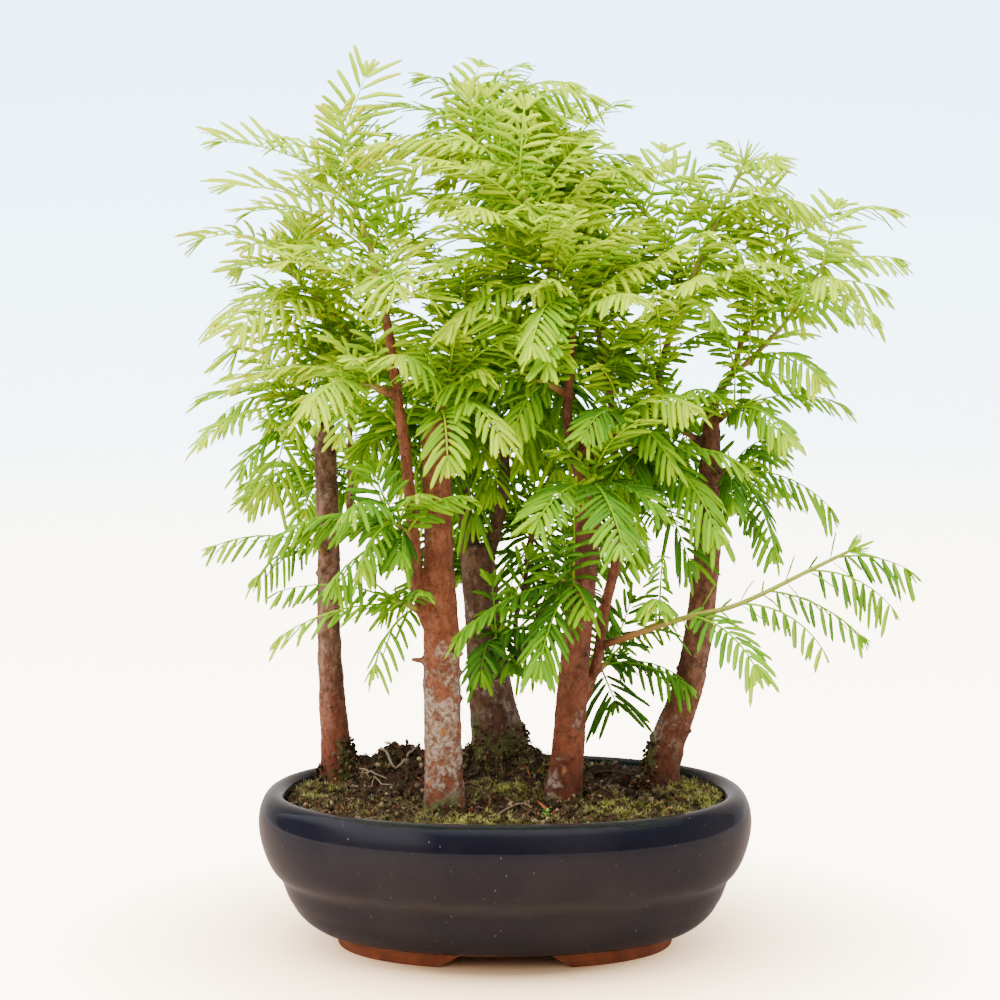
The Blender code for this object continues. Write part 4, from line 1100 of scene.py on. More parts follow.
def grow_crumbs(rng):
    """The granules of moss and soil all over the surface and up the trunks' feet."""
    ball = bmesh.new()
    bmesh.ops.create_icosphere(ball, subdivisions=1, radius=1.0)
    points = np.array([vertex.co[:] for vertex in ball.verts])
    faces = [tuple(vertex.index for vertex in face.verts) for face in ball.faces]
    ball.free()
    shapes, tints = [], []
    for x, y in soil_spots(rng, look("soil").granules):
        green = greenness(x, y)
        size = 0.35 + 0.9 * rng.random() ** 2
        shapes.append(crumb(points, on_soil(x, y, size * 0.35), size, rng))
        # light is painted light and shade: more on high clods, less in the hollows, with some at random
        light = ramp_between(clods_at(x, y), -1.3, 1.5) * 0.6 + 0.4 * rng.random()
        tints.append((green - 0.14 + rng.uniform(-0.25, 0.25), light, rng.random(), 1.0))
    for name, bearing, reach, top, count in SKIRTS:
        trunk = wood_paths(name, FINE_WOOD_STEP)[0]
        for _ in range(count):
            angle = radians(bearing + rng.gauss(0, 0.5) * reach)
            z = SOIL_EDGE + (top - SOIL_EDGE) * rng.random() ** 1.7
            row = min(trunk, key=lambda row: abs(row.z - z))
            out = row.w + rng.uniform(0.3, 1.3) + (1.2 if z < 60 else 0)
            spot = (row.x + out * cos(angle), row.y + out * sin(angle), z)
            if z < soil_height(*spot[:2]) - 1:
                continue
            shapes.append(crumb(points, spot, rng.uniform(0.4, 0.85), rng))
            tints.append((0.22 + rng.uniform(-0.15, 0.2), rng.random(), rng.random(), 1.0))
    growth = Growth()
    growth.add_many(np.array(shapes), faces, np.array(tints)[:, None])
    return growth.piece("moss_crumbs")


def aimed(heading, rise):
    """The direction of a leaf that points this way and rises this much, and its level side."""
    out = Vector((cos(heading) * cos(rise), sin(heading) * cos(rise), sin(rise)))
    return out, Vector((-sin(heading), cos(heading), 0))


def tuft_leaf(centre, heading, rise, length, width):
    """The five points of one moss leaf: a slim spike with three sides."""
    out, side = aimed(heading, rise)
    side = side * width
    up = side.cross(out).normalized() * width * -0.6
    middle = centre + out * length * 0.45
    return [centre, middle + side, middle + up, middle - side, centre + out * length]


TUFT_LEAF_FACES = [(0, 1, 2), (0, 2, 3), (0, 3, 1), (4, 2, 1), (4, 3, 2), (4, 1, 3)]
# Each point's share along its leaf, which the moss finish takes as its light: painted shade at the foot,
# straw at the tip.
TUFT_LEAF_SHARES = (0.1, 0.55, 0.55, 0.55, 1.0)


def grow_tufts(rng):
    """Star-shaped tufts of moss, thickest where the moss is fresh."""
    most = look("soil").tufts
    spots = [spot for spot in soil_spots(rng, most * 2) if greenness(*spot) > 0.3 + rng.uniform(-0.1, 0.2)]
    spots = spots[:most]
    for x, y, spread_x, spread_y, count in TUFT_GROUPS:
        spots += [(x + rng.gauss(0, spread_x), y + rng.gauss(0, spread_y)) for _ in range(count)]
    shapes, tints = [], []
    for x, y in spots:
        green = greenness(x, y) + rng.uniform(-0.08, 0.3)
        centre = on_soil(x, y, 0.25)
        leaves = rng.randint(4, 6)
        turn = rng.uniform(0, 6.28)
        for k in range(leaves):
            rise = radians(rng.uniform(18, 75))
            heading = turn + k * 2 * pi / leaves
            shapes.append(tuft_leaf(centre, heading, rise, rng.uniform(1.3, 3.1), 0.25))
            chance = rng.random()
            tints.append([(green, share, chance, 1.0) for share in TUFT_LEAF_SHARES])
    growth = Growth()
    growth.add_many(np.array(shapes), TUFT_LEAF_FACES, np.array(tints))
    return growth.piece("moss_tufts")


def make_soil_finish():
    """Damp soil with pale grit and drifts of old moss."""
    settings = look("soil")
    finish, shader, here = new_finish("damp_soil")
    clods = speckle(here, 380.0, 6.0, 0.65)
    grit = speckle(here, 1500.0)
    tone = blend(mask(clods, 0.40, 0.65), settings.earth, (0.075, 0.040, 0.020))
    tone = blend(mask(grit, 0.60, 0.70), tone, (0.16, 0.10, 0.055))
    tone = blend(mask(speckle(here, 70.0), 0.5, 0.7) * 0.6, tone, settings.dark_moss)
    feed(shader, {"Base Color": tone, "Roughness": 0.9, "Normal": bump(clods + grit * 0.5, 0.0016)})
    return finish


def make_moss_finish():
    """Moss from its paint: how green it is, how far into the light, and a chance for odd crumbs."""
    settings = look("soil")
    finish, shader, here = new_finish("moss")
    green, light, chance = (painted(here).part(name) for name in ("Red", "Green", "Blue"))
    grit = speckle(here, 1300.0)
    tone = ramp(green + (chance - 0.5) * 0.2,
                [(0.05, settings.earth), (0.16, (0.12, 0.048, 0.021)), (0.28, settings.dark_moss),
                 (0.52, (0.115, 0.110, 0.032)), (0.9, settings.bright_moss)])
    # light is painted light and shade: where it is low the earth colour is laid on as painted shade, in the
    # hollows between clods and at the tufts' feet; where it is high some crumbs and tips turn straw, as dry
    # tips and as painted light on the clods' tops.
    dry = mask(light, 0.5, 1.0) * mask(chance, 0.25, 0.9)
    clumps = mask(speckle(here, 210.0, 3.0), 0.54, 0.38)
    for share, layer in ((dry * 0.8, settings.straw), (mask(light, 0.45, 0.1) * 0.8, settings.earth),
                         (mask(chance, 0.95, 0.97), (0.26, 0.16, 0.085)),
                         (mask(chance, 0.12, 0.10), (0.10, 0.028, 0.012)),
                         (clumps * 0.85, settings.earth), (mask(grit, 0.48, 0.3), (0.012, 0.010, 0.004))):
        tone = blend(share, tone, layer)
    feed(shader, {"Base Color": tone, "Roughness": 0.8, "Specular IOR Level": 0.25,
                  "Normal": bump(grit, 0.0006)})
    return finish


class BONSAI_OT_soil(Operator):
    """Fill the pot with soil up to a crumbly surface that rises in mounds at the back"""
    bl_idname = "bonsai.soil"
    bl_label = "Soil"

    def execute(self, context):
        soil = pull_up("soil_fill", SOIL_ROWS, SOIL_SIDES)
        bpy.ops.mesh.fill_grid(span=SOIL_SIDES // 4)
        bpy.ops.mesh.subdivide(number_cuts=4)
        leave_edit()
        for vertex in soil.data.vertices:
            spot = (vertex.co - POT_MIDDLE) / MM
            if spot.z > SOIL_EDGE - 0.01:
                vertex.co.z = place(on_soil(spot.x, spot.y, 0.0)).z
        open_edit_on(soil, lambda vertex: vertex.index < SOIL_SIDES)
        close_up()
        cut(soil, [box_cutter(*SCREEN_POCKET, x) for x in (-DRAIN_X, DRAIN_X)])
        smooth(soil, SOIL_SHARP)
        wear(soil, make_soil_finish())
        settle(soil, "mossy_soil", "soil")
        return {"FINISHED"}


class BONSAI_OT_moss(Operator):
    """Grow granular and star-shaped moss over the soil and up the feet of the trunks"""
    bl_idname = "bonsai.moss"
    bl_label = "Moss"

    def execute(self, context):
        rng = random.Random(MOSS_SEED)
        finish = make_moss_finish()
        for piece in (grow_crumbs(rng), grow_tufts(rng)):
            wear(piece, finish)
            settle(piece, "mossy_soil")
        return {"FINISHED"}


# Things that lie on the soil: points in x, y and height above it, two radii, and tone from 0 to 1
# (pale root, tan twig, dark twig, rust)
LITTER = [
    ([(-49, 31, 1.4), (-46, 25, 1.6), (-42, 21, 1.8), (-37, 25, 1.9), (-34, 32, 1.2)], 0.6, 0.4, 0.05),
    ([(-56, 20, 1.0), (-51, 14, 1.7), (-45, 12, 1.1)], 0.35, 0.25, 0.0),
    ([(-50, 14, 1.5), (-47, 9, 1.8), (-43, 6, 1.0)], 0.3, 0.2, 0.0),
    ([(-50, 14, 1.5), (-51, 8, 1.6), (-54, 4, 1.0)], 0.28, 0.18, 0.0),
    ([(-60, 12, 0.8), (-56, 6, 1.5), (-57, 0, 0.8)], 0.3, 0.2, 0.1),
    ([(3, -14, 0.8), (6, -26, 1.2), (9, -38, 0.9)], 0.4, 0.28, 0.3),
    ([(0, -24, 0.8), (8, -28, 1.3), (17, -30, 0.7)], 0.35, 0.25, 0.3),
    ([(-4, -36, 0.5), (6, -33, 0.9), (13, -38, 0.6)], 0.4, 0.25, 0.2),
    ([(-2, 28, 0.8), (5, 40, 1.4), (16, 60, 1.0)], 0.35, 0.25, 0.25),
    ([(58, 44, 0.2), (63, 38, 4.0), (67, 28, 5.5), (67, 20, 3.0), (65, 13, 0.2)], 0.45, 0.3, 0.55),
    ([(60, -6, 0.5), (66, 2, 1.0), (76, 6, 0.8)], 0.4, 0.25, 0.3),
    ([(-74, -2, 0.6), (-66, -10, 0.9), (-56, -14, 0.6)], 0.45, 0.3, 0.3),
    ([(-38, -26, 0.6), (-30, -38, 0.9), (-20, -44, 0.6)], 0.4, 0.3, 0.6),
    ([(34, -34, 0.7), (44, -30, 1.0), (54, -34, 0.7)], 0.35, 0.25, 0.35),
    ([(28, 18, 0.8), (38, 24, 1.2), (50, 22, 0.7)], 0.6, 0.4, 0.6),
    ([(-14, 4, 0.7), (-6, -4, 1.3), (4, -6, 0.8)], 0.45, 0.3, 0.5),
    ([(30, 56, 0.8), (42, 52, 1.2), (54, 46, 0.6)], 0.5, 0.35, 0.55),
    ([(-78, 14, 0.6), (-72, 22, 1.0), (-70, 30, 0.6)], 0.4, 0.3, 0.5),
]
LITTER_STEP = 1.6
SEEDLING = (15.0, -42.0)
DEAD_LEAF = (16.0, -37.0)
LEAF_SWELLS = ((0.0, 0.12), (0.2, 0.7), (0.45, 1.0), (0.7, 0.85), (0.9, 0.4), (1.0, 0.06))


def broad_leaf(growth, foot, heading, rise, length, width, tint):
    """A small oval leaf with a folded midrib, two skins thick."""
    out, side = aimed(heading, rise)
    up = out.cross(side)
    rings = []
    for share, swell in LEAF_SWELLS:
        middle = foot + out * length * share - up * length * 0.15 * share ** 2
        half = side * width / 2 * swell
        fold = up * width * 0.14 * swell
        thick = up * 0.12
        rings.append([middle - half + fold, middle - thick, middle + half + fold, middle + thick])
    growth.add(*ring_skin(rings), tint)


def make_litter_finish():
    """Litter from its paint: its tone, whether it is green, and a chance."""
    finish, shader, here = new_finish("litter")
    tint = painted(here)
    tone = ramp(tint.part("Red"), [(0.0, (0.30, 0.22, 0.15)), (0.3, (0.17, 0.105, 0.055)),
                                   (0.6, (0.055, 0.028, 0.015)), (1.0, (0.36, 0.095, 0.018))])
    tone = blend(mask(speckle(here, 900.0, 3.0), 0.6, 0.4) * 0.5, tone, (0.05, 0.03, 0.018))
    tone = blend(mask(tint.part("Green"), 0.7, 0.8), tone, (0.12, 0.30, 0.03))
    feed(shader, {"Base Color": tone, "Roughness": 0.7})
    return finish


class BONSAI_OT_litter(Operator):
    """Lay roots, twigs, dead needles, a dead leaf and a seedling on the soil"""
    bl_idname = "bonsai.litter"
    bl_label = "Litter"

    def execute(self, context):
        rng = random.Random(LITTER_SEED)
        growth = Growth()
        for knots, thick, thin, tone in LITTER:
            path = smooth_path(tapered([on_soil(*knot) for knot in knots], thick, thin), LITTER_STEP)
            for row in path[1:-1]:
                row.xyz += Vector(rng.uniform(-0.25, 0.25) for _ in range(3))
            growth.add(*tube(path, 6), (tone, 0.5, rng.random(), 1.0))
        for x, y in soil_spots(rng, look("soil").needles):
            heading, length = rng.uniform(0, 6.28), rng.uniform(3.5, 9.0)
            dx, dy = cos(heading) * length / 2, sin(heading) * length / 2
            if edge_share(x + dx, y + dy) > 0.97 or edge_share(x - dx, y - dy) > 0.97:
                continue
            ends = [on_soil(x - dx, y - dy, rng.uniform(0.5, 1.2)), on_soil(x, y, rng.uniform(0.7, 1.6)),
                    on_soil(x + dx, y + dy, rng.uniform(0.5, 1.2))]
            growth.add(*tube(smooth_path(tapered(ends, 0.24, 0.14), 2.0), 4),
                       (rng.choice((0.2, 0.3, 0.35, 0.8, 1.0)), 0.5, rng.random(), 1.0))
        foot = on_soil(*DEAD_LEAF, 0.9)
        broad_leaf(growth, foot, radians(155), 0.9, 7.0, 2.8, (1.0, 0.5, 0.9, 1.0))
        broad_leaf(growth, foot, radians(-20), 0.15, 6.0, 2.2, (0.9, 0.5, 0.9, 1.0))
        foot = on_soil(*SEEDLING, -0.2)
        stalk = [Vector((*foot, 0.25)), Vector((foot.x, foot.y, foot.z + 2.8, 0.2))]
        growth.add(*tube(stalk, 6), (0.0, 1.0, 0.3, 1.0))
        for turn in range(6):
            low = turn % 2
            broad_leaf(growth, foot + Vector((0, 0, 1.6 + low)), turn * 1.05 + 0.3, 0.45 + 0.3 * low,
                       rng.uniform(1.8, 2.7), 1.2, (0.0, 1.0, rng.random(), 1.0))
        litter = growth.piece("litter")
        wear(litter, make_litter_finish())
        settle(litter, "mossy_soil")
        return {"FINISHED"}


# The trunks


class BonsaiBarkLook(PropertyGroup):
    voxel: amount_setting("Grain", "Millimetres of the mesh that bark is carved in", 0.75, 0.3)
    relief: amount_setting("Relief", "Millimetres that strips of bark stand out", 0.5)
    furrow: tone_setting("Furrow", "Colour between the strips", (0.030, 0.012, 0.007))
    scurf: tone_setting("Scurf", "Colour of the pale weathered bark", (0.30, 0.235, 0.185))
    moss: tone_setting("Moss", "Colour of moss on the bark", (0.040, 0.048, 0.012))


FINE_WOOD_STEP = 3.0
BAR_ROUNDNESS = 4
BUDS = 16  # small dead buds on each trunk
FLARE_FROM = 70.0
FLARE = 1.4
ROOT_LOBES = 5
KNOT_RISE = 1.1
CUT_DEPTH = 0.25
LUMP_GRAIN = 0.16
STRIP_GRAIN = Vector((0.6, 0.6, 0.3))
FIBRE_GRAIN = Vector((1.3, 1.3, 0.9))
BARK_TONES = {  # the bark's main colour, that of its raised strips, and how red its foot is
    "a": ((0.090, 0.035, 0.018), (0.185, 0.100, 0.066), 0.9),
    "b": ((0.122, 0.029, 0.009), (0.176, 0.057, 0.023), 0.0),
    "c": ((0.056, 0.021, 0.009), (0.110, 0.055, 0.030), 0.1),
    "d": ((0.102, 0.025, 0.009), (0.160, 0.050, 0.022), 0.6),
    "e": ((0.070, 0.022, 0.009), (0.135, 0.056, 0.028), 0.4),
}
# Marks on a trunk: kind, bearing in degrees from the viewer's right through the back, height, reach
# round the trunk in degrees, reach up and down in millimetres, strength
BARK_MARKS = {
    "a": [
        ("moss", -25, 62, 70, 11, 1.0), ("moss", 150, 57, 80, 6, 0.8), ("moss", 20, 84, 50, 12, 0.5),
        ("scurf", 200, 96, 60, 26, 0.45), ("knot", -70, 118, 30, 4, 0.8),
        ("knot", 230, 152, 26, 4, 0.7), ("scurf", -60, 160, 60, 18, 0.35),
    ],
    "b": [
        ("scurf", -90, 86, 200, 30, 0.85), ("scurf", -60, 106, 60, 16, 0.7),
        ("scurf", -90, 60, 300, 8, 0.6), ("moss", -90, 56, 300, 5, 0.7),
        ("knot", -88, 86, 26, 3.6, 1.1), ("cut", -88, 86, 15, 2.0, 0.9), ("cut", -138, 67, 12, 1.4, 1.0),
        ("moss", 60, 58, 80, 6, 0.7), ("moss", -100, 58, 110, 6, 0.75), ("knot", -40, 140, 30, 4, 0.5),
        ("knot", 215, 168, 30, 5, 0.6), ("cut", 90, 198, 400, 1.2, 0.5),
    ],
    "c": [
        ("scurf", -90, 84, 100, 20, 0.55), ("scurf", -150, 112, 70, 22, 0.5),
        ("moss", -60, 66, 120, 9, 1.0), ("moss", 200, 72, 60, 10, 0.8), ("knot", -80, 98, 30, 5, 0.9),
        ("knot", -120, 126, 30, 5, 0.7),
    ],
    "d": [
        ("scurf", -130, 60, 50, 8, 0.85), ("cut", -98, 68.5, 9, 2.0, 0.9), ("moss", 30, 57, 70, 6, 0.8),
        ("knot", -60, 104, 26, 4, 0.7), ("knot", -120, 132, 26, 4, 0.6), ("scurf", -70, 84, 40, 10, 0.3),
        ("knot", -95, 172, 26, 5, 0.6), ("cut", 90, 200, 400, 1.2, 0.5),
    ],
    "e": [
        ("moss", 195, 66, 60, 9, 1.0), ("scurf", 215, 74, 60, 12, 0.8), ("moss", 30, 59, 70, 5, 0.7),
        ("knot", -80, 116, 26, 4, 0.8), ("knot", -120, 150, 26, 4, 0.6), ("scurf", -60, 96, 40, 14, 0.3),
    ],
}


def bar(name, path):
    """A round bar through rows of x, y, z and radius: a bevelled curve made a mesh."""
    curve = bpy.data.curves.new(name, "CURVE")
    curve.dimensions = "3D"
    curve.bevel_depth = MM
    curve.bevel_resolution = BAR_ROUNDNESS
    curve.use_fill_caps = True
    spline = curve.splines.new("POLY")
    spline.points.add(len(path) - 1)
    for point, row in zip(spline.points, path):
        point.co = (*place(row), 1.0)
        point.radius = row.w
    select_only(put(name, curve))
    bpy.ops.object.convert(target="MESH")
    return bpy.context.object


def mark_strength(mark, bearing, z):
    """How strongly a mark shows at a bearing and height on its trunk."""
    _, centre, height, round_reach, up_reach, strength = mark
    apart = abs((bearing - centre + 180) % 360 - 180)
    return strength * exp(-(apart / round_reach) ** 2 - ((z - height) / up_reach) ** 2)


def axis_tree(rows):
    """A tree that finds the row of an axis nearest to a point."""
    tree = KDTree(len(rows))
    for k, row in enumerate(rows):
        tree.insert(row.to_3d(), k)
    tree.balance()
    return tree


def carve_bark(piece, name, paths):
    """Raises strips, knots and root lobes on a trunk and paints where moss, scurf and cuts are."""
    settings = look("bark")
    rows = [row for path in paths for row in path]
    own = len(rows)  # gives each trunk its own pattern
    axis, stem = axis_tree(rows), axis_tree(paths[0])
    rng = random.Random(own)
    top = TRUNKS[name][-1][2]
    buds = [("knot", rng.uniform(0, 360), rng.uniform(70, top), rng.uniform(7, 12), rng.uniform(0.7, 1.5),
             rng.uniform(0.7, 1.3)) for _ in range(BUDS)]
    mesh = piece.data
    normals = [vertex.normal.copy() for vertex in mesh.vertices]
    paint = np.zeros((len(mesh.vertices), 4), dtype=np.float32)
    for k, vertex in enumerate(mesh.vertices):
        spot = (vertex.co - POT_MIDDLE) / MM
        size = min(1.0, rows[axis.find(spot)[1]].w / 5)
        near, index, apart = stem.find(spot)
        strips = noise.noise(spot * STRIP_GRAIN + Vector((0, 0, own)))
        fibres = noise.noise(spot * FIBRE_GRAIN)
        lumps = noise.noise(spot * LUMP_GRAIN)
        rise = settings.relief * size * (0.8 * lumps + 0.4 * strips + 0.35 * fibres)
        shown = {"moss": 0.0, "scurf": 0.0, "cut": 0.0, "knot": 0.0}
        if apart < rows[index].w * 1.35 + 0.6:
            bearing = degrees(atan2(spot.y - near.y, spot.x - near.x))
            for mark in BARK_MARKS[name] + buds:
                strength = mark_strength(mark, bearing, spot.z)
                shown[mark[0]] = max(shown[mark[0]], strength)
                if mark[0] == "knot":
                    rise += strength * KNOT_RISE
                elif mark[0] == "cut":
                    rise -= strength * CUT_DEPTH
            low = ramp_between(-spot.z, -FLARE_FROM, -SOIL_EDGE)
            lobes = 0.5 + 0.5 * sin(radians(bearing) * ROOT_LOBES + own)
            rise += FLARE * low ** 2 * (0.4 + 0.6 * lobes)
        else:
            shown["scurf"] = 0.3 * max(0.0, lumps)
        vertex.co += normals[k] * rise * MM
        paint[k] = shown["moss"], shown["scurf"], shown["cut"], max(0.0, shown["knot"] - 0.35)
    layer = mesh.color_attributes.new("growth", "FLOAT_COLOR", "POINT")
    layer.data.foreach_set("color", paint.ravel())


def make_bark_group():
    """The bark that all trunks share. Its inputs are a trunk's tones and what grows on it."""
    settings = look("bark")
    given, out = new_group("bark", {"Place": "Vector", "Main": "Color", "Strip": "Color",
                                    "Growth": "Color", "Dark": "Float", "Red": "Float"},
                           {"Colour": "Color", "Height": "Float", "Roughness": "Float"})
    here, growth = given["Place"], given["Growth"]
    height = here.part("Z")
    stretched = add(here.tree, "Mapping", "Vector", {"Vector": here, "Scale": (1.0, 1.0, 0.6)})
    strips = speckle(stretched, 330.0, 8.0, 0.7, 0.3)
    fibres = speckle(stretched, 1150.0, 6.0, 0.7)
    pits = speckle(here, 640.0, 4.0, 0.6)
    crumbs = speckle(here, 1500.0, 3.0)
    flaked = (speckle(here, 170.0, 8.0, 0.72) - 0.5) * 1.7
    pale = mask(growth.part("Green") * 0.42 + flaked, 0.16, 0.36)
    mossy = mask(growth.part("Red") * 0.5 + flaked, 0.2, 0.36)
    grey = blend(mask(pits, 0.40, 0.60), (0.115, 0.058, 0.034), settings.scurf)
    fresh = blend(mask(fibres, 0.4, 0.6), (0.15, 0.05, 0.018), (0.30, 0.14, 0.06))
    green = blend(mask(crumbs, 0.42, 0.62), settings.moss, (0.13, 0.12, 0.035))
    tone = blend(mask(strips, 0.44, 0.58), given["Main"], given["Strip"])
    for share, layer in ((mask(height, 0.105, 0.062) * given["Red"], (0.15, 0.028, 0.007)),
                         (mask(speckle(here, 50.0), 0.5, 0.68) * 0.5, settings.furrow),
                         (mask(pits, 0.41, 0.33) * 0.7, settings.furrow),
                         (mask(fibres, 0.54, 0.70) * 0.16, settings.scurf),
                         (given["Dark"] * 0.85, (0.012, 0.006, 0.004)),
                         (mask(height, 0.078, 0.055) * 0.7, (0.045, 0.012, 0.006)),
                         (pale * 0.9, grey), (mask(growth.part("Blue"), 0.35, 0.6), fresh), (mossy, green)):
        tone = blend(share, tone, layer)
    relief = strips * 0.5 + fibres * 0.4 + mask(pits, 0.35, 0.45) * 0.25 + (pale + mossy) * (crumbs * 0.5)
    feed(out, {"Colour": tone, "Height": relief, "Roughness": fibres * 0.35 + 0.5})


def make_bark(name):
    main, strip, red = BARK_TONES[name]
    finish, shader, here = new_finish("bark_" + name)
    growth = painted(here, "growth")
    bark = add(here.tree, "Group", "Colour", {
        "Place": here, "Main": colour(main), "Strip": colour(strip), "Growth": growth,
        "Dark": growth.also("Alpha"), "Red": red}, node_tree=bpy.data.node_groups["bark"])
    feed(shader, {"Base Color": bark, "Roughness": bark.also("Roughness"), "Specular IOR Level": 0.3,
                  "Normal": bump(bark.also("Height"), 0.0012, 0.9)})
    return finish


class BONSAI_OT_trunks(Operator):
    """Model the five trunks: swept bars fused into one skin each, then carved as bark"""
    bl_idname = "bonsai.trunks"
    bl_label = "Trunks"

    def execute(self, context):
        make_bark_group()
        for name in TRUNKS:
            trunk_axis, branches, spurs = wood_paths(name, FINE_WOOD_STEP)
            spurs = [[start, start.lerp(end, 0.5), end] for start, end in spurs]
            paths = [trunk_axis] + branches + spurs
            bars = [bar("trunk_" + name + "_fine", path) for path in paths]
            clear_selection()
            for made in bars:
                made.select_set(True)
            context.view_layer.objects.active = bars[0]
            bpy.ops.object.join()
            trunk = context.object
            apply_modifier(trunk, "REMESH", mode="VOXEL", voxel_size=look("bark").voxel * MM)
            apply_modifier(trunk, "SMOOTH", factor=0.5, iterations=3)
            carve_bark(trunk, name, paths)
            select_only(trunk)
            bpy.ops.object.shade_smooth()
            wear(trunk, make_bark(name))
            settle(trunk, "bark", "trunk_" + name)
        return {"FINISHED"}


# The shoots


class BonsaiLeafLook(PropertyGroup):
    needle_gap: amount_setting("Needle gap", "Millimetres between pairs of needles", 3.25, 1.0)
    needle_width: amount_setting("Needle width", "Millimetres across a needle", 2.0, 0.5)
    spray_gap: amount_setting("Spray gap", "Millimetres of stem between small sprays", 3.2, 3.0)
    # The greens follow freshness with painted light mixed in: deep is also the painted shade of inner
    # sprays, and the lighter greens the painted light towards the front.
    deep: tone_setting("Deep", "Green of the oldest needles", (0.034, 0.110, 0.014))
    full: tone_setting("Full", "Green of grown needles", (0.100, 0.27, 0.016))
    fresh: tone_setting("Fresh", "Green of this year's needles", (0.25, 0.49, 0.005))
    young: tone_setting("Young", "Green of the newest tips", (0.53, 0.70, 0.002))
    bronze: tone_setting("Bronze", "Tint of tips that the sun has reached", (0.78, 0.50, 0.03))
    glow: amount_setting("Glow", "Share of light that passes through a needle", 0.42,
                         subtype="FACTOR", max=1.0)


# A needle's rings: share of its length, and width as a share of its widest
NEEDLE_RINGS = ((0.10, 0.66), (0.48, 1.0), (0.90, 0.74))
NEEDLE_HALF_THICKNESS = 0.15
NEEDLE_GROOVE = 0.22  # how far its edges rise, as a share of its half width
FINE_FIRST = 3.2  # from a frond's root to its first needles
FINE_LAST = 0.965
RIB_RADIUS = 0.55
RIB_TIP_RADIUS = 0.26
RIB_SIDES = 4
RIB_PIECES = 7
FINE_ARCH = 0.14
TIP_TURNS = (-30, -14, 2, 17, 32)  # degrees of the needles at a frond's tip from its rib
UP = Vector((0, 0, 1))
LIGHT = Vector((0, -0.9, 0.44))
TWIST = 0.9
FINE_STEM_SIDES = 8
FINE_STEM_STEP = 4.0
FINE_STEM_TIP_RADIUS = 0.62
STEM_NEEDLE_GAP = 5.0
STEM_TIP_NEEDLES = 7
SMALL_SCALE = 0.82
SMALL_LENGTHS = (21.0, 41.0)
SMALL_LEAN = (48.0, 64.0)
NEAR_ROOT = 5.0
NEAR_ANGLE = 30.0
# How a shoot's needles sit: gap, length and width against the usual, and degrees that they hang
OPEN, COMB, USUAL = (1.35, 1.35, 0.95, -20.0), (1.25, 0.78, 0.76, 38.0), (1.0, 1.0, 1.0, 6.0)
HABITS = {
    "a_top": OPEN, "a_left": (1.25, 1.0, 0.9, 8.0), "b_leader": OPEN, "a_low": COMB,
    "b_low": (1.35, 0.8, 0.78, 26.0), "b_mid": (1.1, 1.0, 1.0, 24.0), "d_low_right": COMB,
    "d_low": (1.15, 0.66, 0.85, 34.0), "e_mid": (1.15, 0.95, 1.0, 34.0), "e_low": (1.15, 0.95, 1.0, 28.0),
    "c_low": (1.1, 1.0, 1.0, 30.0), "d_fan": (1.0, 1.15, 1.05, 4.0), "d_front": (1.0, 1.15, 1.05, 4.0),
    "e_top": (1.2, 0.95, 1.05, 12.0),
}
SPARSE = {  # the share of small sprays that an open shoot keeps
    "d_tall": 0.4, "e_top": 0.3, "a_top": 0.7, "b_leader": 0.6, "e_low": 0.6, "a_low": 0.0, "b_low": 0.3,
    "d_low_right": 0.0, "c_low": 0.9, "d_low": 0.5, "d_low_left": 0.7, "c_front": 0.8, "e_mid": 0.7,
}


def needle_faces():
    """Faces of a needle over its points: the root, rings of four and the tip."""
    tip = 4 * len(NEEDLE_RINGS) + 1
    faces = [(0, 1 + (k + 1) % 4, 1 + k) for k in range(4)]
    for ring in range(1, tip - 4, 4):
        for k in range(4):
            a, b = ring + k, ring + (k + 1) % 4
            faces.append((a, b, b + 4, a + 4))
    return faces + [(tip - 4 + k, tip - 4 + (k + 1) % 4, tip) for k in range(4)]


class Needles:
    """The needles of one shoot, each a row of numbers until they are all shaped at once."""

    def __init__(self):
        self.rows = []

    def grow(self, base, along, face, bend, length, width, youth_and_light, chance, bronze):
        self.rows.append((*base, *along, *face, *bend, length, width, youth_and_light, chance, bronze))

    def shapes(self):
        """All their points and tints: arrays of needles by points by 3 and by 4."""
        rows = np.array(self.rows)
        base, along, face, bend = (rows[:, i:i + 3] for i in (0, 3, 6, 9))
        length, width, youth_and_light, chance, bronze = (rows[:, i:i + 1] for i in range(12, 17))
        side = np.cross(face, along)
        side /= np.linalg.norm(side, axis=1, keepdims=True)
        up = np.cross(along, side)
        points, shares = [base], [0.0]
        for share, swell in NEEDLE_RINGS:
            middle = base + along * length * share + bend * length * share ** 2
            half = width / 2 * swell
            lift = up * half * NEEDLE_GROOVE
            thick = up * NEEDLE_HALF_THICKNESS
            points += [middle + side * half + lift, middle + thick - lift * 0.5,
                       middle - side * half + lift, middle - thick - lift * 0.5]
            shares += [share] * 4
        points.append(base + along * length + bend * length)
        shares.append(1.0)
        tints = np.empty((len(rows), len(points), 4))
        tints[:, :, 0], tints[:, :, 1] = youth_and_light, np.array(shares)
        tints[:, :, 2], tints[:, :, 3] = chance, bronze
        return np.stack(points, axis=1), tints


def youth_and_light_at(point):
    """How fresh the growth is at a place, with painted light and shade mixed in: most at the top and on the
    outside, more towards the front as painted light, and more towards the left low down; the inner sprays
    keep the deep green as painted shade.
    """
    high = ramp_between(point.z, 150, 275)
    out = ramp_between(hypot(point.x - 5, point.y + 5), 35, 110)
    front = ramp_between(-point.y, -20, 60)
    left = ramp_between(-point.x, 25, 85)
    return 0.20 + 0.60 * high + 0.12 * out + 0.08 * front + 0.16 * left * (1 - high)


def bronze_at(point):
    """How bronze the sun has turned the growth: most at the top left."""
    return ramp_between(-point.x, 5, 85) * ramp_between(point.z, 175, 255)


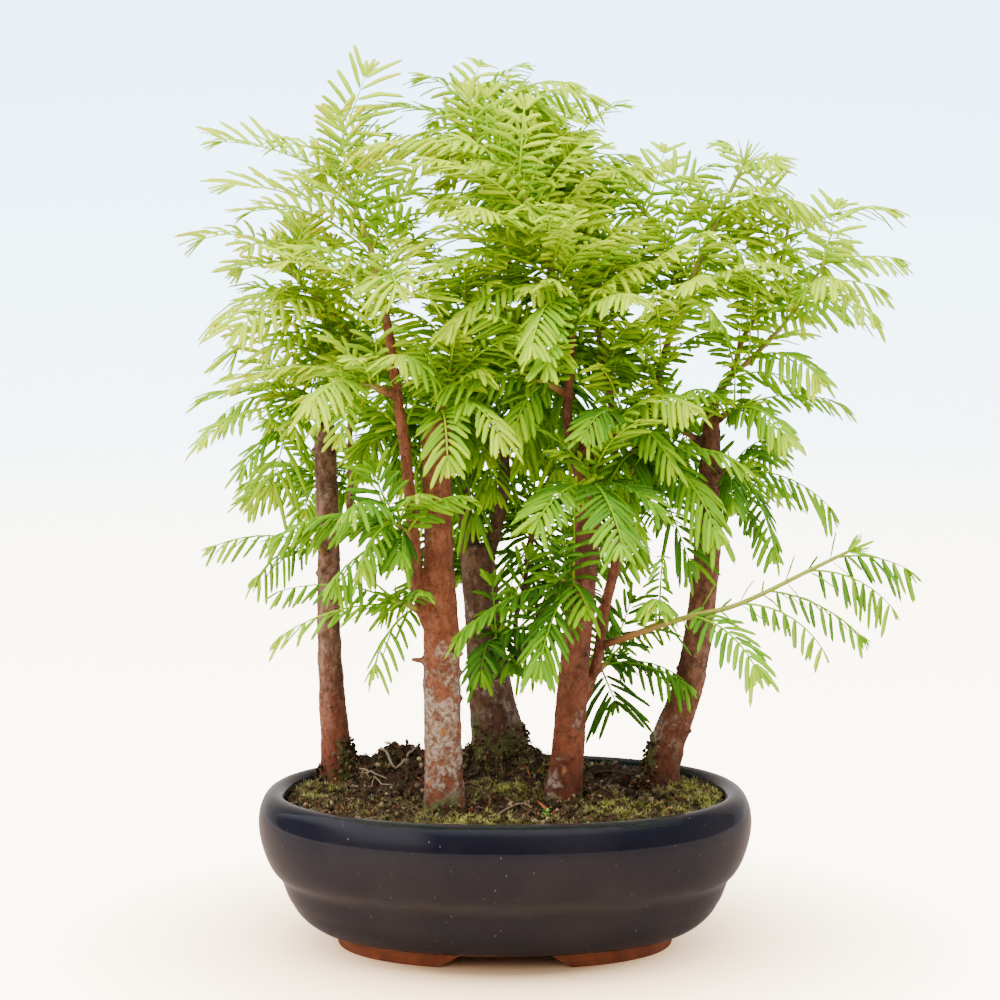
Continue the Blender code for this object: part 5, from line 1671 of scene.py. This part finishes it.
def needle_frame(along, level, face, sweep, hang):
    """The direction and upper face of a needle swept forward and hung down from its rib."""
    out = leaning(along, level, sweep)
    return leaning(out, face, -hang).normalized(), leaning(face, level, hang).normalized()


def twisted(face, out):
    """A needle's upper face turned on its stalk towards the light at the front."""
    light = LIGHT if face.dot(LIGHT) > 0 else -LIGHT
    return squared(face + light * TWIST, out)


def dress_frond(growth, needles, frond, habit, scale, rng):
    """A frond's rib, its two rows of needles and the small bunch at its tip."""
    settings = look("leaf")
    gap, longer, wider, hang = habit
    scale, width = scale * longer * rng.uniform(0.88, 1.1), settings.needle_width * wider
    hang += rng.uniform(-16, 16)
    lean, curl = rng.uniform(-8, 8), rng.uniform(0.14, 0.46)
    centres = [frond.centre(k / RIB_PIECES) for k in range(RIB_PIECES + 1)]
    rib = [Vector(row) for row in tapered(centres, RIB_RADIUS, RIB_TIP_RADIUS)]
    # how fresh the frond is, with painted light and shade from where its tip is
    own_youth_and_light = youth_and_light_at(frond.tip) + rng.uniform(-0.13, 0.15)
    own_bronze = bronze_at(frond.tip) * rng.uniform(0.3, 1.0)
    growth.add(*tube(rib, RIB_SIDES), (own_youth_and_light + 0.12, 0.3, 0.6, 0.0))
    count = max(4, round((frond.length * FINE_LAST - FINE_FIRST) / settings.needle_gap / gap))
    start = FINE_FIRST / frond.length
    for k in range(count + 1):
        share = start + (FINE_LAST - start) * k / count
        along, left, face = frond.frame(share)
        sweep = SWEEP_FOOT + lean + (SWEEP_TIP - SWEEP_FOOT) * share ** 1.5
        swell = 0.80 + 0.38 * sin(pi * 0.85 * share)
        youth_and_light = own_youth_and_light - 0.14 + 0.34 * share ** 2
        for level in (left, -left):
            angle = radians(sweep + rng.uniform(-5, 5))
            drop = radians(hang + rng.uniform(-12, 12))
            out, up = needle_frame(along, level, face, angle, drop)
            up = twisted(up, out)
            foot = frond.centre(share + rng.uniform(-0.3, 0.3) / frond.length)
            bend = along * rng.uniform(0.02, 0.2) - UP * curl * rng.uniform(0.6, 1.4)
            length = NEEDLE_LENGTH * swell * scale * rng.uniform(0.9, 1.08)
            needles.grow(foot + level * RIB_RADIUS * 0.4, out, up, bend, length,
                         width * rng.uniform(0.85, 1.1), youth_and_light, rng.random(), own_bronze)
    along, left, face = frond.frame(1.0)
    for turn in TIP_TURNS:
        angle = radians(turn + rng.uniform(-5, 5))
        out = (leaning(along, left, angle) - face * rng.uniform(0.0, 0.3)).normalized()
        length = NEEDLE_LENGTH * scale * rng.uniform(0.55, 0.8)
        needles.grow(frond.centre(0.985), out, squared(face, out), -UP * curl * 0.6, length,
                     width * 0.85, own_youth_and_light + 0.22, rng.random(), own_bronze)


def fine_stem(shoot, number):
    """A stem as a smooth slim bar that starts just inside its spur."""
    rows = tapered(shoot.stems[number], SIDE_STEM_RADIUS if number else STEM_RADIUS, FINE_STEM_TIP_RADIUS)
    path = smooth_path(rows, FINE_STEM_STEP)
    start = path[0].to_3d()
    away = (path[1].to_3d() - start).normalized()
    path[0] = Vector((*(start - away * 0.8), path[0].w))
    return path


def dress_stem(growth, needles, shoot, number, rng):
    """A stem, woody at its foot and green at its tip, with single needles and a tip bunch."""
    path = fine_stem(shoot, number)
    total = len(path)
    tints = []
    for ring in range(total):
        share = ring / (total - 1)
        woody = 0.16 + 0.6 * (1 - share) ** 2.2 if number == 0 else 0.16 + 0.3 * (1 - share)
        tints += [(woody, youth_and_light_at(path[ring].to_3d()), rng.random(), share)] * FINE_STEM_SIDES
    growth.add(*tube(path, FINE_STEM_SIDES), np.array(tints), 1)
    along = directions(path)
    needle_width = look("leaf").needle_width
    turn = rng.uniform(0, pi)
    walked = 0.0
    for k in range(1, total):
        walked += (path[k] - path[k - 1]).length
        if walked < STEM_NEEDLE_GAP or k < total * 0.25:
            continue
        walked = 0.0
        turn += radians(90 + rng.uniform(-15, 15))
        side = beside(along[k], turn)
        for level in (side, -side):
            out = leaning(along[k], level, radians(rng.uniform(40, 72)))
            spot = path[k].to_3d()
            needles.grow(spot + level * path[k].w * 0.6, out, squared(along[k], out),
                         UP * -rng.uniform(0.0, 0.3), rng.uniform(9.0, 15.0),
                         needle_width * rng.uniform(0.55, 0.8), youth_and_light_at(spot) + rng.uniform(-0.1, 0.15),
                         rng.random(), bronze_at(spot) * 0.6)
    end, ahead = path[-1].to_3d(), along[-1]
    for k in range(STEM_TIP_NEEDLES):
        spin = beside(ahead, k * 2.4 + rng.uniform(-0.3, 0.3))
        out = leaning(ahead, spin, radians(rng.uniform(10, 48)))
        needles.grow(end - ahead * 0.4, out, squared(ahead, out), ahead * 0.08, rng.uniform(6.0, 10.5),
                     needle_width * 0.62, youth_and_light_at(end) + 0.25, rng.random(), bronze_at(end))


# Where the fine growth ends: past this x, no frond's tip is higher than this
TOPS = ((95, 274), (48, 290), (8, 316), (-200, 321))
LOW_TIP = 94.0
SHORTEST_LOWERED = 16.0
NEAR_TIP = -64.0  # a frond that comes this far forward spreads flat
BOX_SLACK = 4.0
MORE_TURNS = (0, 14, -14, 28, -28)
# More fronds of the short shoots between the trunks, by their tips
MORE_TIPS = {
    "c_twig": [(-16, 58, 176), (-30, 62, 160), (-4, 50, 186), (30, 56, 182), (-22, 70, 140), (34, 62, 142),
               (2, 66, 126), (20, 66, 190)],
    "c_mid_left": [(-38, 10, 172), (-22, -8, 166), (-4, 6, 170), (-30, 4, 160), (-12, 18, 158)],
    "c_mid_right": [(28, 10, 186), (8, 4, 182), (20, 20, 176), (40, 24, 188)],
    "c_low": [(-8, 52, 118), (-2, 66, 140), (40, 52, 150), (6, 58, 98), (34, 60, 98)],
    "c_back_mid": [(-14, 60, 190), (16, 66, 178), (-2, 50, 172), (34, 60, 186), (-26, 56, 196)],
    "c_back": [(-44, 54, 150), (-30, 60, 168), (-6, 60, 156), (-14, 66, 172)],
    "c_back_high": [(-56, 50, 200), (-40, 56, 186), (-22, 60, 190), (-48, 48, 222)],
    "b_back": [(-52, -6, 186), (-40, 10, 178), (-60, -10, 216)],
    "d_back": [(52, 50, 140), (30, 46, 142), (58, 30, 172)],
}


def lowered(frond):
    """The frond with its tip no higher than the growth goes there, and shorter if it hangs low."""
    if frond.tip.z < LOW_TIP and frond.root.z > frond.tip.z:
        return Frond(frond.node, frond.root, frond.root.lerp(frond.tip, 0.5), FINE_ARCH, frond.roll)
    top = next(top for past, top in TOPS if frond.tip.x > past)
    if frond.tip.z <= top:
        return frond
    tip = Vector((*frond.tip.xy, top))
    if (tip - frond.root).length < SHORTEST_LOWERED:
        tip = frond.root + (tip - frond.root).normalized() * SHORTEST_LOWERED
    return Frond(frond.node, frond.root, tip, FINE_ARCH, frond.roll)


def clears(frond, wood):
    blade = tree_of(blade_skin(frond))
    return not any(blade.overlap(tree) for tree in wood)


def more_fronds(name, shoot, wood, rng):
    """The fronds that only the fine growth has."""
    for tip in map(Vector, MORE_TIPS.get(name, ())):
        root = min(place_on(stem, tip, []) for stem in shoot_stems(shoot))[1]
        for turn in MORE_TURNS:
            frond = Frond(name, root, root + turned(tip - root, turn, 0), rng.uniform(*ARCHES),
                          rng.uniform(-0.6, 0.6))
            if clears(frond, wood):
                yield frond
                break


def inside_frame(frond):
    """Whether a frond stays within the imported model's box."""
    slack = BOX_SLACK * MM
    for share in (0.0, 0.5, 1.0):
        spot = place(frond.centre(share))
        for low, here, high in zip(CAD_BOUNDS[0], spot, CAD_BOUNDS[1]):
            if not low + slack < here < high - slack:
                return False
    return min(frond.tip.z, frond.root.z) > LOWEST_NEEDLE


def small_sprays(name, shoot, fronds, wood, rng):
    """Short young fronds along the stems, in pairs that turn a right angle from node to node."""
    kept = []
    for stem in shoot_stems(shoot):
        points = fine_points(stem)
        turn = rng.uniform(0, pi)
        step = max(1, round(look("leaf").spray_gap / ROOT_STEP))
        for k in range(2, len(points) - 1, step):
            along = (points[k + 1] - points[k - 1]).normalized()
            turn += radians(90 + rng.uniform(-25, 25))
            side = beside(along, turn)
            share = k / len(points)
            for level in (side, -side):
                run = leaning(along, level, radians(rng.uniform(*SMALL_LEAN)))
                length = rng.uniform(*SMALL_LENGTHS) * (1.05 - 0.4 * share)
                frond = Frond(name, points[k], points[k] + run * length, rng.uniform(*ARCHES),
                              radians(rng.uniform(-ROLL, ROLL)))
                near = [other for other in fronds + kept if (other.root - frond.root).length < NEAR_ROOT
                        and (other.tip - other.root).angle(run) < radians(NEAR_ANGLE)]
                if near or rng.random() > SPARSE.get(name, 1.0) or not inside_frame(frond):
                    continue
                if clears(frond, wood):
                    kept.append(frond)
    return kept


def make_needle_finish():
    """Needles by their paint: deep to young green by freshness and painted light, bronze at sunny tips.
    Light passes through.
    """
    settings = look("leaf")
    finish, shader, here = new_finish("redwood_needle")
    tint = painted(here)
    youth_and_light, along, chance = (tint.part(name) for name in ("Red", "Green", "Blue"))
    green = ramp(youth_and_light + (chance - 0.5) * 0.26 + along * 0.08,
                 [(0.08, settings.deep), (0.36, settings.full), (0.66, settings.fresh),
                  (0.98, settings.young)])
    rusty = tint.also("Alpha") * maths("POWER", along, 1.6) * mask(chance, 0.1, 0.9)
    tone = blend(rusty, green, settings.bronze)
    feed(shader, {"Base Color": tone, "Roughness": 0.5, "Specular IOR Level": 0.1})
    through = add(here.tree, "BsdfTranslucent", "BSDF", {"Color": blend(0.22, tone, settings.young)})
    solid = Wire(shader.outputs["BSDF"])
    mixed = add(here.tree, "MixShader", "Shader", {0: settings.glow, 1: solid, 2: through})
    feed(here.tree.nodes["Material Output"], {"Surface": mixed})
    return finish


def make_stem_finish():
    """Stems from green tips to brown wood by their paint."""
    finish, shader, here = new_finish("redwood_stem")
    grain = speckle(here, 500.0)
    tone = ramp(painted(here).part("Red") + (grain - 0.5) * 0.3,
                [(0.05, (0.22, 0.30, 0.018)), (0.3, (0.19, 0.17, 0.022)),
                 (0.55, (0.19, 0.085, 0.022)), (0.9, (0.085, 0.032, 0.014))])
    feed(shader, {"Base Color": tone, "Roughness": 0.55, "Normal": bump(grain, 0.0003, 0.6)})
    return finish


def habit_of(frond):
    """How a frond's needles sit."""
    habit = HABITS.get(frond.node, USUAL)
    if habit is COMB and frond.tip.y < NEAR_TIP:
        habit = USUAL
    if abs((frond.tip - frond.root).normalized().z) > UPRIGHT:
        habit = OPEN
    return habit


class BONSAI_OT_shoots(Operator):
    """Grow the leafy shoots: stems, ribs and needles on every packed frond, with small sprays between"""
    bl_idname = "bonsai.shoots"
    bl_label = "Shoots"

    def execute(self, context):
        finishes = make_needle_finish(), make_stem_finish()
        wood = wood_trees()
        placed = place_fronds(wood)
        faces = needle_faces()
        for order, (name, shoot) in enumerate(SHOOTS.items()):
            rng = random.Random(FIRST_SHOOT_SEED + order)
            fronds = [lowered(frond) for frond in placed if frond.node == name]
            fronds += more_fronds(name, shoot, wood, rng)
            small = small_sprays(name, shoot, fronds, wood, rng)
            growth, needles = Growth(), Needles()
            for number in range(len(shoot.stems)):
                dress_stem(growth, needles, shoot, number, rng)
            for frond in fronds + small:
                scale = SMALL_SCALE if frond in small else 1.0
                dress_frond(growth, needles, frond, habit_of(frond), scale, rng)
            shapes, tints = needles.shapes()
            growth.add_many(shapes, faces, tints)
            piece = growth.piece("shoot_" + name + "_fine")
            wear(piece, *finishes)
            settle(piece, "foliage", "shoot_" + name)
        return {"FINISHED"}


# The photo studio


class BonsaiStageLook(PropertyGroup):
    distance: amount_setting("Camera distance", "From the pot's middle to the camera", 0.9, 0.1,
                             unit="LENGTH")
    height: amount_setting("Camera height", "Above the table", 0.242, unit="LENGTH")
    lens: amount_setting("Lens", "Millimetres for a 36 mm sensor", 87.2, 10.0)
    tilt: amount_setting("Tilt", "How far the camera looks down", 0.0838, -pi / 2, subtype="ANGLE")
    light: amount_setting("Light", "Strength of all the lamps together", 1.0)
    backdrop: amount_setting("Backdrop glow", "How bright the backdrop looks", 5.6)
    glow: amount_setting("Backdrop light", "Light that the backdrop throws on the piece", 1.0)


CAMERA_X = -1.9
SENSOR_WIDTH = 36.0
SWEEP_HALF_WIDTH = 2600
SWEEP_FRONT = -2200
SWEEP_BACK = 900
SWEEP_RADIUS = 900  # of the curve between floor and wall
SWEEP_TURNS = 14
SWEEP_WALL = 1600
# Lamps: place, size across and up, watts, colour
LAMPS = {
    "lamp_top": ((-120, -260, 1150), 1100, 900, 46.0, (1.0, 0.99, 0.97)),
    "lamp_left": ((-1150, -150, 560), 1200, 1000, 25.0, (0.98, 0.99, 1.0)),
    "lamp_right": ((1150, -50, 560), 1200, 1000, 18.0, (1.0, 0.99, 0.97)),
    "lamp_front": ((-250, -1500, 900), 800, 600, 11.0, (1.0, 0.99, 0.97)),
}
LAMP_AIM = (0, 0, 150)


def make_backdrop_finish():
    """White paper that the camera sees brighter than it is, and the glaze sees darker, with a painted warm
    shadow on the floor round the pot.
    """
    settings = look("stage")
    finish, shader, here = new_finish("studio_paper")
    height = here.part("Z")
    away = add(here.tree, "VectorMath", "Value", {0: here, 1: POT_MIDDLE}, operation="DISTANCE")
    clear, low = mask(away, 0.05, 0.18), mask(height, 0.0, 0.12)
    # painted shadow: near the pot the floor takes a warmer, darker colour
    floor = blend(clear, (0.93, 0.63, 0.36), (1.0, 0.85, 0.66))
    wall = ramp(mask(height, 0.05, 0.85),
                [(0.0, (0.80, 0.95, 1.0)), (0.35, (0.55, 0.82, 1.0)), (1.0, (0.30, 0.52, 1.0))])
    tone = blend(low, floor, wall)
    mirrored = ramp(mask(away, 0.15, 1.35),
                    [(0.0, (0.24, 0.172, 0.133)), (0.3, (0.20, 0.152, 0.132)), (1.0, (0.36, 0.325, 0.30))])
    glossy = add(here.tree, "LightPath", "Is Glossy Ray", {})
    # the camera sees no glow close to the pot, which deepens the painted shadow there
    seen = glossy.also("Is Camera Ray") * clear * settings.backdrop * (1.45 - low * 0.45)
    thrown = glossy.also("Is Diffuse Ray") * settings.glow * mask(away, 0.02, 0.2)
    feed(shader, {"Base Color": blend(glossy, tone, mirrored), "Emission Color": tone,
                  "Emission Strength": seen + thrown, "Roughness": 0.55})
    return finish


class BONSAI_OT_stage(Operator):
    """Set up the pale sweep, the soft lamps, the surroundings and the camera"""
    bl_idname = "bonsai.stage"
    bl_label = "Studio"

    def execute(self, context):
        settings = look("stage")
        self.unroll(context)
        for name, (spot, across, up, watts, tone) in LAMPS.items():
            lamp = bpy.data.lights.new(name, "AREA")
            lamp.shape, lamp.size, lamp.size_y = "RECTANGLE", across * MM, up * MM
            lamp.energy, lamp.color = watts * settings.light, tone
            made = put(name, lamp)
            made.visible_glossy = False
            made.location = place(spot)
            made.rotation_euler = (place(LAMP_AIM) - made.location).to_track_quat("-Z", "Y").to_euler()
        self.surround(context)
        camera = bpy.data.cameras.new("camera")
        camera.lens, camera.sensor_width = settings.lens, SENSOR_WIDTH
        made = put("camera", camera)
        made.location = POT_MIDDLE + Vector((CAMERA_X * MM, -settings.distance, settings.height))
        made.rotation_euler = (pi / 2 - settings.tilt, 0, 0)
        context.scene.camera = made
        return {"FINISHED"}

    def unroll(self, context):
        """The paper: a floor that curves up into a wall behind the piece."""
        clear_selection()
        bpy.ops.mesh.primitive_plane_add(size=1.0, location=(0, 0, 0))
        sweep = context.object
        sweep.name = "studio_sweep"
        for vertex in sweep.data.vertices:
            y = SWEEP_BACK if vertex.co.y > 0 else SWEEP_FRONT
            vertex.co = place((copysign(SWEEP_HALF_WIDTH, vertex.co.x), y, 0))
        open_edit_on(sweep, lambda vertex: vertex.co.y > 0)
        step = SWEEP_RADIUS * MM * pi / 2 / SWEEP_TURNS
        for k in range(SWEEP_TURNS):
            angle = pi / 2 * (k + 0.5) / SWEEP_TURNS
            bpy.ops.mesh.extrude_edges_move(TRANSFORM_OT_translate={
                "value": (0, step * cos(angle), step * sin(angle))})
        bpy.ops.mesh.extrude_edges_move(TRANSFORM_OT_translate={"value": (0, 0, SWEEP_WALL * MM)})
        bpy.ops.mesh.select_all(action="SELECT")
        bpy.ops.mesh.normals_make_consistent(inside=True)
        leave_edit()
        bpy.ops.object.shade_smooth()
        wear(sweep, make_backdrop_finish())

    def surround(self, context):
        """A pale world, dimmer behind the camera so that the glaze keeps its depth."""
        world = bpy.data.worlds.new("studio")
        world.use_nodes = True
        tree = world.node_tree
        way = add(tree, "TexCoord", "Generated", {})
        x, y, z = (way.part(name) for name in "XYZ")
        tone = blend(mask(y, -0.2, -0.9), (0.86, 0.93, 1.0), (0.20, 0.20, 0.21))
        tone = blend(mask(z, 0.0, 0.7), tone, (0.95, 0.97, 1.0))
        window = mask(x, -0.9, -0.75) * mask(x, -0.3, -0.45) * mask(z, 0.12, 0.3)
        window = maths("MAXIMUM", window, mask(z, 0.7, 0.98))
        dimmed = add(tree, "LightPath", "Is Glossy Ray", {}) * (0.86 - window * 0.86)
        feed(tree.nodes["Background"], {"Color": blend(dimmed, tone, (0, 0, 0)),
                                        "Strength": look("stage").light})
        context.scene.world = world


# The add-on


class BONSAI_PT_panel(Panel):
    """Lists the pieces of the bonsai with their settings"""
    bl_idname = "BONSAI_PT_panel"
    bl_label = "Dawn Redwood Bonsai"
    bl_space_type = "VIEW_3D"
    bl_region_type = "UI"
    bl_category = "Bonsai"

    def draw(self, context):
        for operator, group in STEPS:
            box = self.layout.box()
            box.operator(operator.bl_idname)
            if group:
                settings = look(group)
                for key in type(settings).__annotations__:
                    box.prop(settings, key)


LOOKS = {
    "pot": BonsaiPotLook, "soil": BonsaiSoilLook, "bark": BonsaiBarkLook, "leaf": BonsaiLeafLook,
    "stage": BonsaiStageLook,
}
STEPS = [
    (BONSAI_OT_pot, "pot"), (BONSAI_OT_screens, None), (BONSAI_OT_soil, "soil"), (BONSAI_OT_moss, None),
    (BONSAI_OT_litter, None), (BONSAI_OT_trunks, "bark"), (BONSAI_OT_shoots, "leaf"),
    (BONSAI_OT_stage, "stage"),
]


def register():
    for name, group in LOOKS.items():
        bpy.utils.register_class(group)
        setattr(bpy.types.Scene, "bonsai_" + name, PointerProperty(type=group))
    for operator, _ in STEPS:
        bpy.utils.register_class(operator)
    bpy.utils.register_class(BONSAI_PT_panel)


def unregister():
    bpy.utils.unregister_class(BONSAI_PT_panel)
    for operator, _ in reversed(STEPS):
        bpy.utils.unregister_class(operator)
    for name, group in LOOKS.items():
        delattr(bpy.types.Scene, "bonsai_" + name)
        bpy.utils.unregister_class(group)


def main():
    register()
    bpy.ops.bonsai.pot()
    bpy.ops.bonsai.screens()
    bpy.ops.bonsai.soil()
    bpy.ops.bonsai.moss()
    bpy.ops.bonsai.litter()
    bpy.ops.bonsai.trunks()
    bpy.ops.bonsai.shoots()
    bpy.ops.bonsai.stage()
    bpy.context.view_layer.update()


if __name__ == "__main__":
    main()
